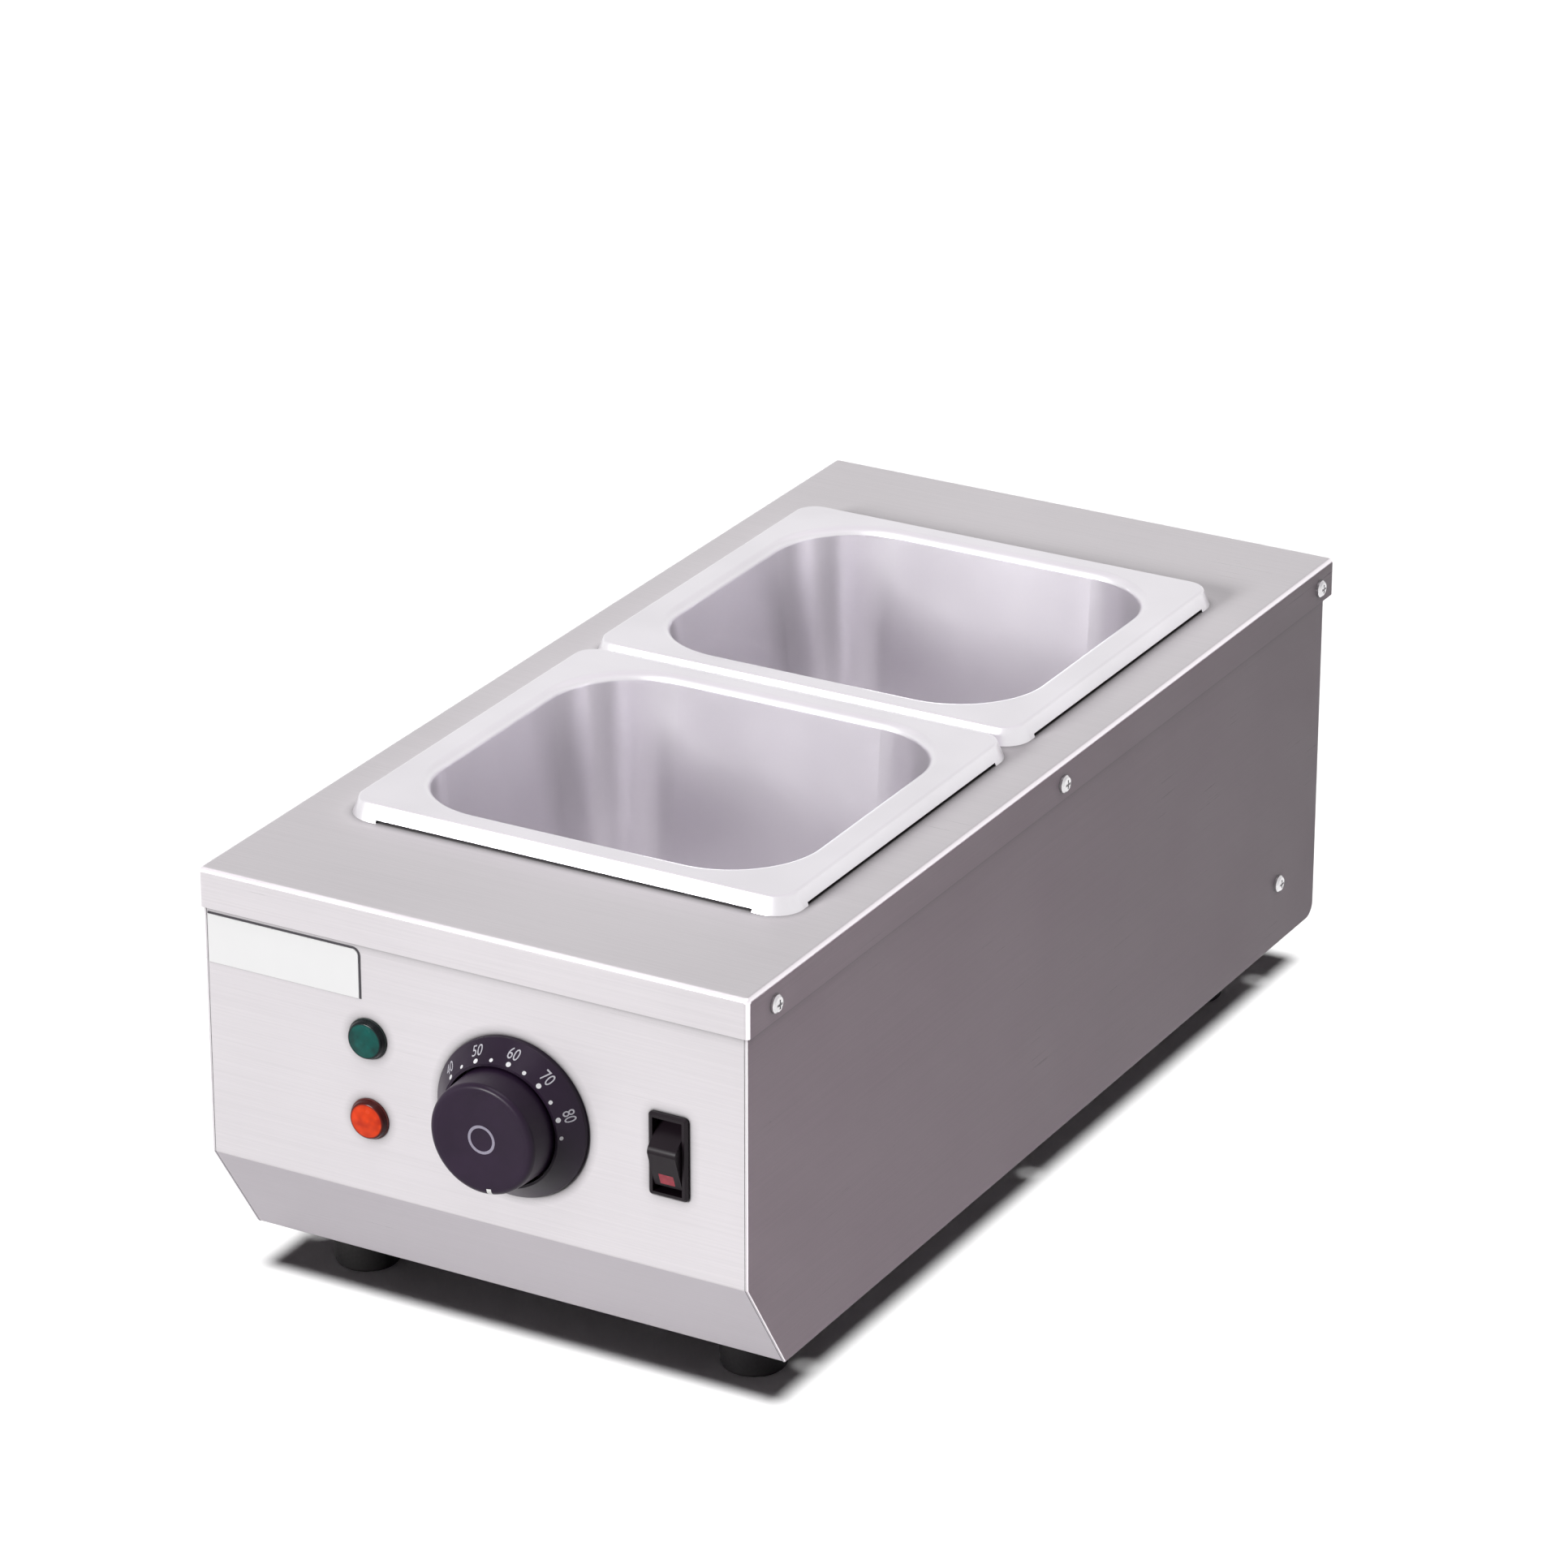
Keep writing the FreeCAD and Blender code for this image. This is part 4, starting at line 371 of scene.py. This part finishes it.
# Printed scale on the dial.
def cone_point(radius, turn):
    """Point of the print on the dial's cone. Turn is clockwise from the top, in radians."""
    share = (CONE_OUTER[0] - radius) / (CONE_OUTER[0] - CONE_INNER[0])
    depth = CONE_OUTER[1] + share * (CONE_INNER[1] - CONE_OUTER[1]) + INK_LIFT
    return dial_place(radius, turn, depth)


def dial_place(radius, turn, proud):
    """Point around the dial's axis, at a distance in front of the panel."""
    place = Vector((DIAL_X + radius * math.sin(turn), PANEL_Y - proud, CONTROL_Z + radius * math.cos(turn)))
    return place * MM


CONE_WIDTH = CONE_OUTER[0] - CONE_INNER[0]
SLANT = math.hypot(CONE_WIDTH, CONE_INNER[1] - CONE_OUTER[1]) / CONE_WIDTH


def piece(name, mesh_maker, material, body):
    """Thin printed or stuck-on piece that rides on a body."""
    mesh = bpy.data.meshes.new(name)
    work = bmesh.new()
    mesh_maker(work)
    bmesh.ops.recalc_face_normals(work, faces=work.faces)
    work.to_mesh(mesh)
    work.free()
    mesh.materials.append(material)
    thing = bpy.data.objects.new(name, mesh)
    bpy.context.scene.collection.objects.link(thing)
    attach(thing, body)
    return thing


def thicken(work, depth):
    """Gives a flat print its ink thickness, away from the panel."""
    result = bmesh.ops.extrude_face_region(work, geom=list(work.faces))
    moved = [item for item in result["geom"] if isinstance(item, bmesh.types.BMVert)]
    bmesh.ops.translate(work, verts=moved, vec=(0.0, -depth * MM, 0.0))


# Places of the numbers and of the dots between them, in degrees clockwise from the top.
NUMBER_ANGLES = {40: -56, 50: -24, 60: 8, 70: 39.5, 80: 72}
BETWEEN_ANGLES = (-40, -8.5, 23.5, 56, 88)


def scale_dots(work):
    """A large dot under each number and a small one between two numbers."""
    large = [(angle, LARGE_DOT) for angle in NUMBER_ANGLES.values()]
    small = [(angle, SMALL_DOT) for angle in BETWEEN_ANGLES]
    for angle, radius in large + small:
        turn = math.radians(angle)
        ring = []
        for step in range(DOT_SIDES):
            bearing = math.tau * step / DOT_SIDES
            out = DOT_RING + radius * math.cos(bearing) / SLANT
            around = turn + radius * math.sin(bearing) / DOT_RING
            ring.append(work.verts.new(cone_point(out, around)))
        work.faces.new(ring)
    thicken(work, INK_THICKNESS)


def scale_numbers(work):
    """Temperatures in degrees, each laid on the cone over its dot."""
    for number, angle in NUMBER_ANGLES.items():
        curve = bpy.data.curves.new("digits", "FONT")
        curve.body = str(number)
        curve.align_x = "CENTER"
        curve.align_y = "CENTER"
        curve.resolution_u = 4
        holder = bpy.data.objects.new("digits", curve)
        bpy.context.scene.collection.objects.link(holder)
        bpy.context.view_layer.update()
        flat = bpy.data.meshes.new_from_object(holder)
        bpy.data.objects.remove(holder)
        bpy.data.curves.remove(curve)
        low_x = min(vertex.co.x for vertex in flat.vertices)
        high_x = max(vertex.co.x for vertex in flat.vertices)
        low_y = min(vertex.co.y for vertex in flat.vertices)
        high_y = max(vertex.co.y for vertex in flat.vertices)
        places = []
        for vertex in flat.vertices:
            across = ((vertex.co.x - low_x) / (high_x - low_x) - 0.5) * NUMBER_WIDTH
            up = ((vertex.co.y - low_y) / (high_y - low_y) - 0.5) * NUMBER_HEIGHT
            turn = math.radians(angle) + across / NUMBER_RING
            places.append(work.verts.new(cone_point(NUMBER_RING + up / SLANT, turn)))
        for polygon in flat.polygons:
            work.faces.new([places[index] for index in polygon.vertices])
        bpy.data.meshes.remove(flat)
    thicken(work, INK_THICKNESS)


ink = printed("scale_ink", colour(0.80, 0.80, 0.82))
grey_ink = printed("number_ink", colour(0.52, 0.51, 0.56))
piece("dial_dots", scale_dots, ink, "root")
piece("dial_numbers", scale_numbers, grey_ink, "root")


def knob_mark(work):
    """Plain printed ring in the dish of the knob's face."""
    rings = []
    for radius in RING_MARK:
        rise = KNOB_FACE + radius ** 2 / (2 * KNOB_DISH_BALL) + RING_LIFT
        places = [dial_place(radius, math.tau * step / RING_SIDES, rise) for step in range(RING_SIDES)]
        rings.append([work.verts.new(place) for place in places])
    for step in range(RING_SIDES):
        after = (step + 1) % RING_SIDES
        work.faces.new([rings[0][step], rings[0][after], rings[1][after], rings[1][step]])
    thicken(work, RING_THICKNESS)


ring_ink = printed("ring_ink", colour(0.36, 0.33, 0.42), 0.42)
piece("knob_ring_mark", knob_mark, ring_ink, "knob")


# Bare label plate with a painted shadow strip beside its top and right edges.
def plate_outline(grow=0.0):
    """Corners of the plate, clockwise from its lower left, with the upper right one rounded."""
    right = PLATE_RIGHT + grow
    high = PLATE_HIGH + grow
    radius = PLATE_CORNER + grow
    points = [(PLATE_LEFT, PLATE_LOW), (PLATE_LEFT, high)]
    for step in range(CORNER_STEPS + 1):
        turn = math.radians(90 - 90 * step / CORNER_STEPS)
        points.append((right - radius + radius * math.cos(turn), high - radius + radius * math.sin(turn)))
    points.append((right, PLATE_LOW))
    return points


def on_panel(work, outline):
    """New points a hair in front of the panel."""
    return [work.verts.new(Vector((x, PANEL_Y - PLATE_LIFT, z)) * MM) for x, z in outline]


def label_plate(work):
    """Bare plate with softly rounded front edges."""
    work.faces.new(on_panel(work, plate_outline()))
    thicken(work, PLATE_THICKNESS)
    front = (PANEL_Y - PLATE_THICKNESS) * MM
    top = [edge for edge in work.edges if all(vertex.co.y < front for vertex in edge.verts)]
    bmesh.ops.bevel(work, geom=top, offset=PLATE_EDGE * MM, segments=2, affect="EDGES")


def plate_line(work):
    """Painted shadow of the plate: a dark line just outside its top and down its right end."""
    inner = on_panel(work, plate_outline(LINE_START)[1:])
    outer = on_panel(work, plate_outline(LINE_END)[1:])
    for step in range(len(inner) - 1):
        work.faces.new([inner[step], inner[step + 1], outer[step + 1], outer[step]])
    thicken(work, LINE_THICKNESS)


# Painted shadow of the plate on the panel, in near-black ink.
plate_shadow_paint = printed("plate_shadow_paint", colour(0.05, 0.045, 0.055))
piece("label_plate", label_plate, film("plate_film"), "root")
piece("label_plate_shadow", plate_line, plate_shadow_paint, "root")


# Floor, world, lamps.
def seen_share(tree):
    """1 for camera, glossy and transmission rays."""
    light_path = tree.nodes.new("ShaderNodeLightPath")
    share = light_path.outputs["Is Camera Ray"]
    for name in ("Is Glossy Ray", "Is Transmission Ray"):
        either = tree.nodes.new("ShaderNodeMath")
        either.operation = "MAXIMUM"
        tree.links.new(share, either.inputs[0])
        tree.links.new(light_path.outputs[name], either.inputs[1])
        share = either.outputs[0]
    return share


def seen_and_unseen(tree, unseen, seen, output):
    """Shows one shader to the camera and in reflections, and lets the other light the object."""
    blend = tree.nodes.new("ShaderNodeMixShader")
    tree.links.new(seen_share(tree), blend.inputs[0])
    tree.links.new(unseen.outputs[0], blend.inputs[1])
    tree.links.new(seen.outputs[0], blend.inputs[2])
    out = tree.nodes.new(output)
    tree.links.new(blend.outputs[0], out.inputs["Surface"])


floor_mesh = bpy.data.meshes.new("floor")
corners = [(x * FLOOR_REACH * MM, y * FLOOR_REACH * MM, 0) for x, y in ((-1, -1), (1, -1), (1, 1), (-1, 1))]
floor_mesh.from_pydata(corners, [], [(0, 1, 2, 3)])
floor = bpy.data.objects.new("floor", floor_mesh)
bpy.context.scene.collection.objects.link(floor)
floor_look = bpy.data.materials.new("floor_paper")
floor_look.use_nodes = True
tree = floor_look.node_tree
tree.nodes.clear()
bounce = tree.nodes.new("ShaderNodeBsdfDiffuse")
bounce.inputs["Color"].default_value = colour(0.05, 0.047, 0.05)
shown = tree.nodes.new("ShaderNodeBsdfDiffuse")
shown.inputs["Color"].default_value = colour(0.76, 0.76, 0.76)
seen_and_unseen(tree, bounce, shown, "ShaderNodeOutputMaterial")
floor_mesh.materials.append(floor_look)

scene = bpy.context.scene
world = bpy.data.worlds.new("studio")
scene.world = world
world.use_nodes = True
tree = world.node_tree
tree.nodes.clear()
ambient = tree.nodes.new("ShaderNodeBackground")
ambient.inputs["Color"].default_value = colour(1.0, 0.88, 0.95)
ambient.inputs["Strength"].default_value = 0.05
backdrop = tree.nodes.new("ShaderNodeBackground")
backdrop.inputs["Strength"].default_value = 1.0
way = tree.nodes.new("ShaderNodeTexCoord")
split = tree.nodes.new("ShaderNodeSeparateXYZ")
tree.links.new(way.outputs["Generated"], split.inputs[0])
ramp = tree.nodes.new("ShaderNodeValToRGB")
ramp.color_ramp.elements[0].position = 0.30
ramp.color_ramp.elements[0].color = colour(1.0, 1.0, 1.0)
ramp.color_ramp.elements[1].position = 0.85
ramp.color_ramp.elements[1].color = colour(0.74, 0.71, 0.74)
tree.links.new(split.outputs["Z"], ramp.inputs["Fac"])
tree.links.new(ramp.outputs["Color"], backdrop.inputs["Color"])
seen_and_unseen(tree, ambient, backdrop, "ShaderNodeOutputWorld")


def sun(name, towards, level, angle):
    """Lamp that comes from `towards`. A level of 1 shows a facing colour as it is written."""
    lamp = bpy.data.lights.new(name, "SUN")
    lamp.energy = level * math.pi
    lamp.angle = math.radians(angle)
    thing = bpy.data.objects.new(name, lamp)
    thing.rotation_euler = Vector(towards).to_track_quat("Z", "Y").to_euler()
    scene.collection.objects.link(thing)
    return thing


def linked(name, members, state="INCLUDE"):
    """Collection that a lamp reads: what it lights or what shades it."""
    group = bpy.data.collections.new(name)
    for member in members:
        group.objects.link(member)
    for entry in group.collection_objects:
        entry.light_linking.link_state = state
    return group


pans = [nodes["front_pan"], nodes["rear_pan"]]
# The pans mirror an overhead lamp as pure white, so a wider and weaker one lights them.
overhead = sun("overhead", (0.0, -0.10, 1.0), 0.34, 36)
front_left = sun("front_left", (-0.35, -1.0, 0.33), 0.93, 14)
for lamp, left_out in ((overhead, [floor] + pans), (front_left, [floor])):
    lamp.light_linking.receiver_collection = linked("all_but_" + lamp.name, left_out, "EXCLUDE")
pan_light = sun("pan_light", (0.0, -0.10, 1.0), 0.14, 110)
pan_light.light_linking.receiver_collection = linked("pans_only", pans)
# The floor has a soft lamp of its own, shaded by the base, so the shadow stays close under the object.
floor_lamp = sun("floor_light", (0.19, -0.18, 1.0), 1.5, 24)
floor_lamp.light_linking.receiver_collection = linked("floor_only", [floor])
base_pieces = ("base_plate", "foot_front_left", "foot_rear_left", "foot_front_right", "foot_rear_right")
base = [nodes[name] for name in base_pieces]
floor_lamp.light_linking.blocker_collection = linked("base_only", base)

camera_data = bpy.data.cameras.new("photo_camera")
camera_data.lens = CAMERA_LENS
camera_data.sensor_width = 36.0
camera_data.clip_start = 0.05
camera_data.clip_end = 60.0
camera = bpy.data.objects.new("photo_camera", camera_data)
camera.location = Vector(CAMERA_PLACE) * MM
aim = Vector(CAMERA_AIM) * MM - camera.location
camera.rotation_euler = aim.to_track_quat("-Z", "Y").to_euler()
scene.collection.objects.link(camera)
scene.camera = camera
scene.view_settings.view_transform = "Standard"
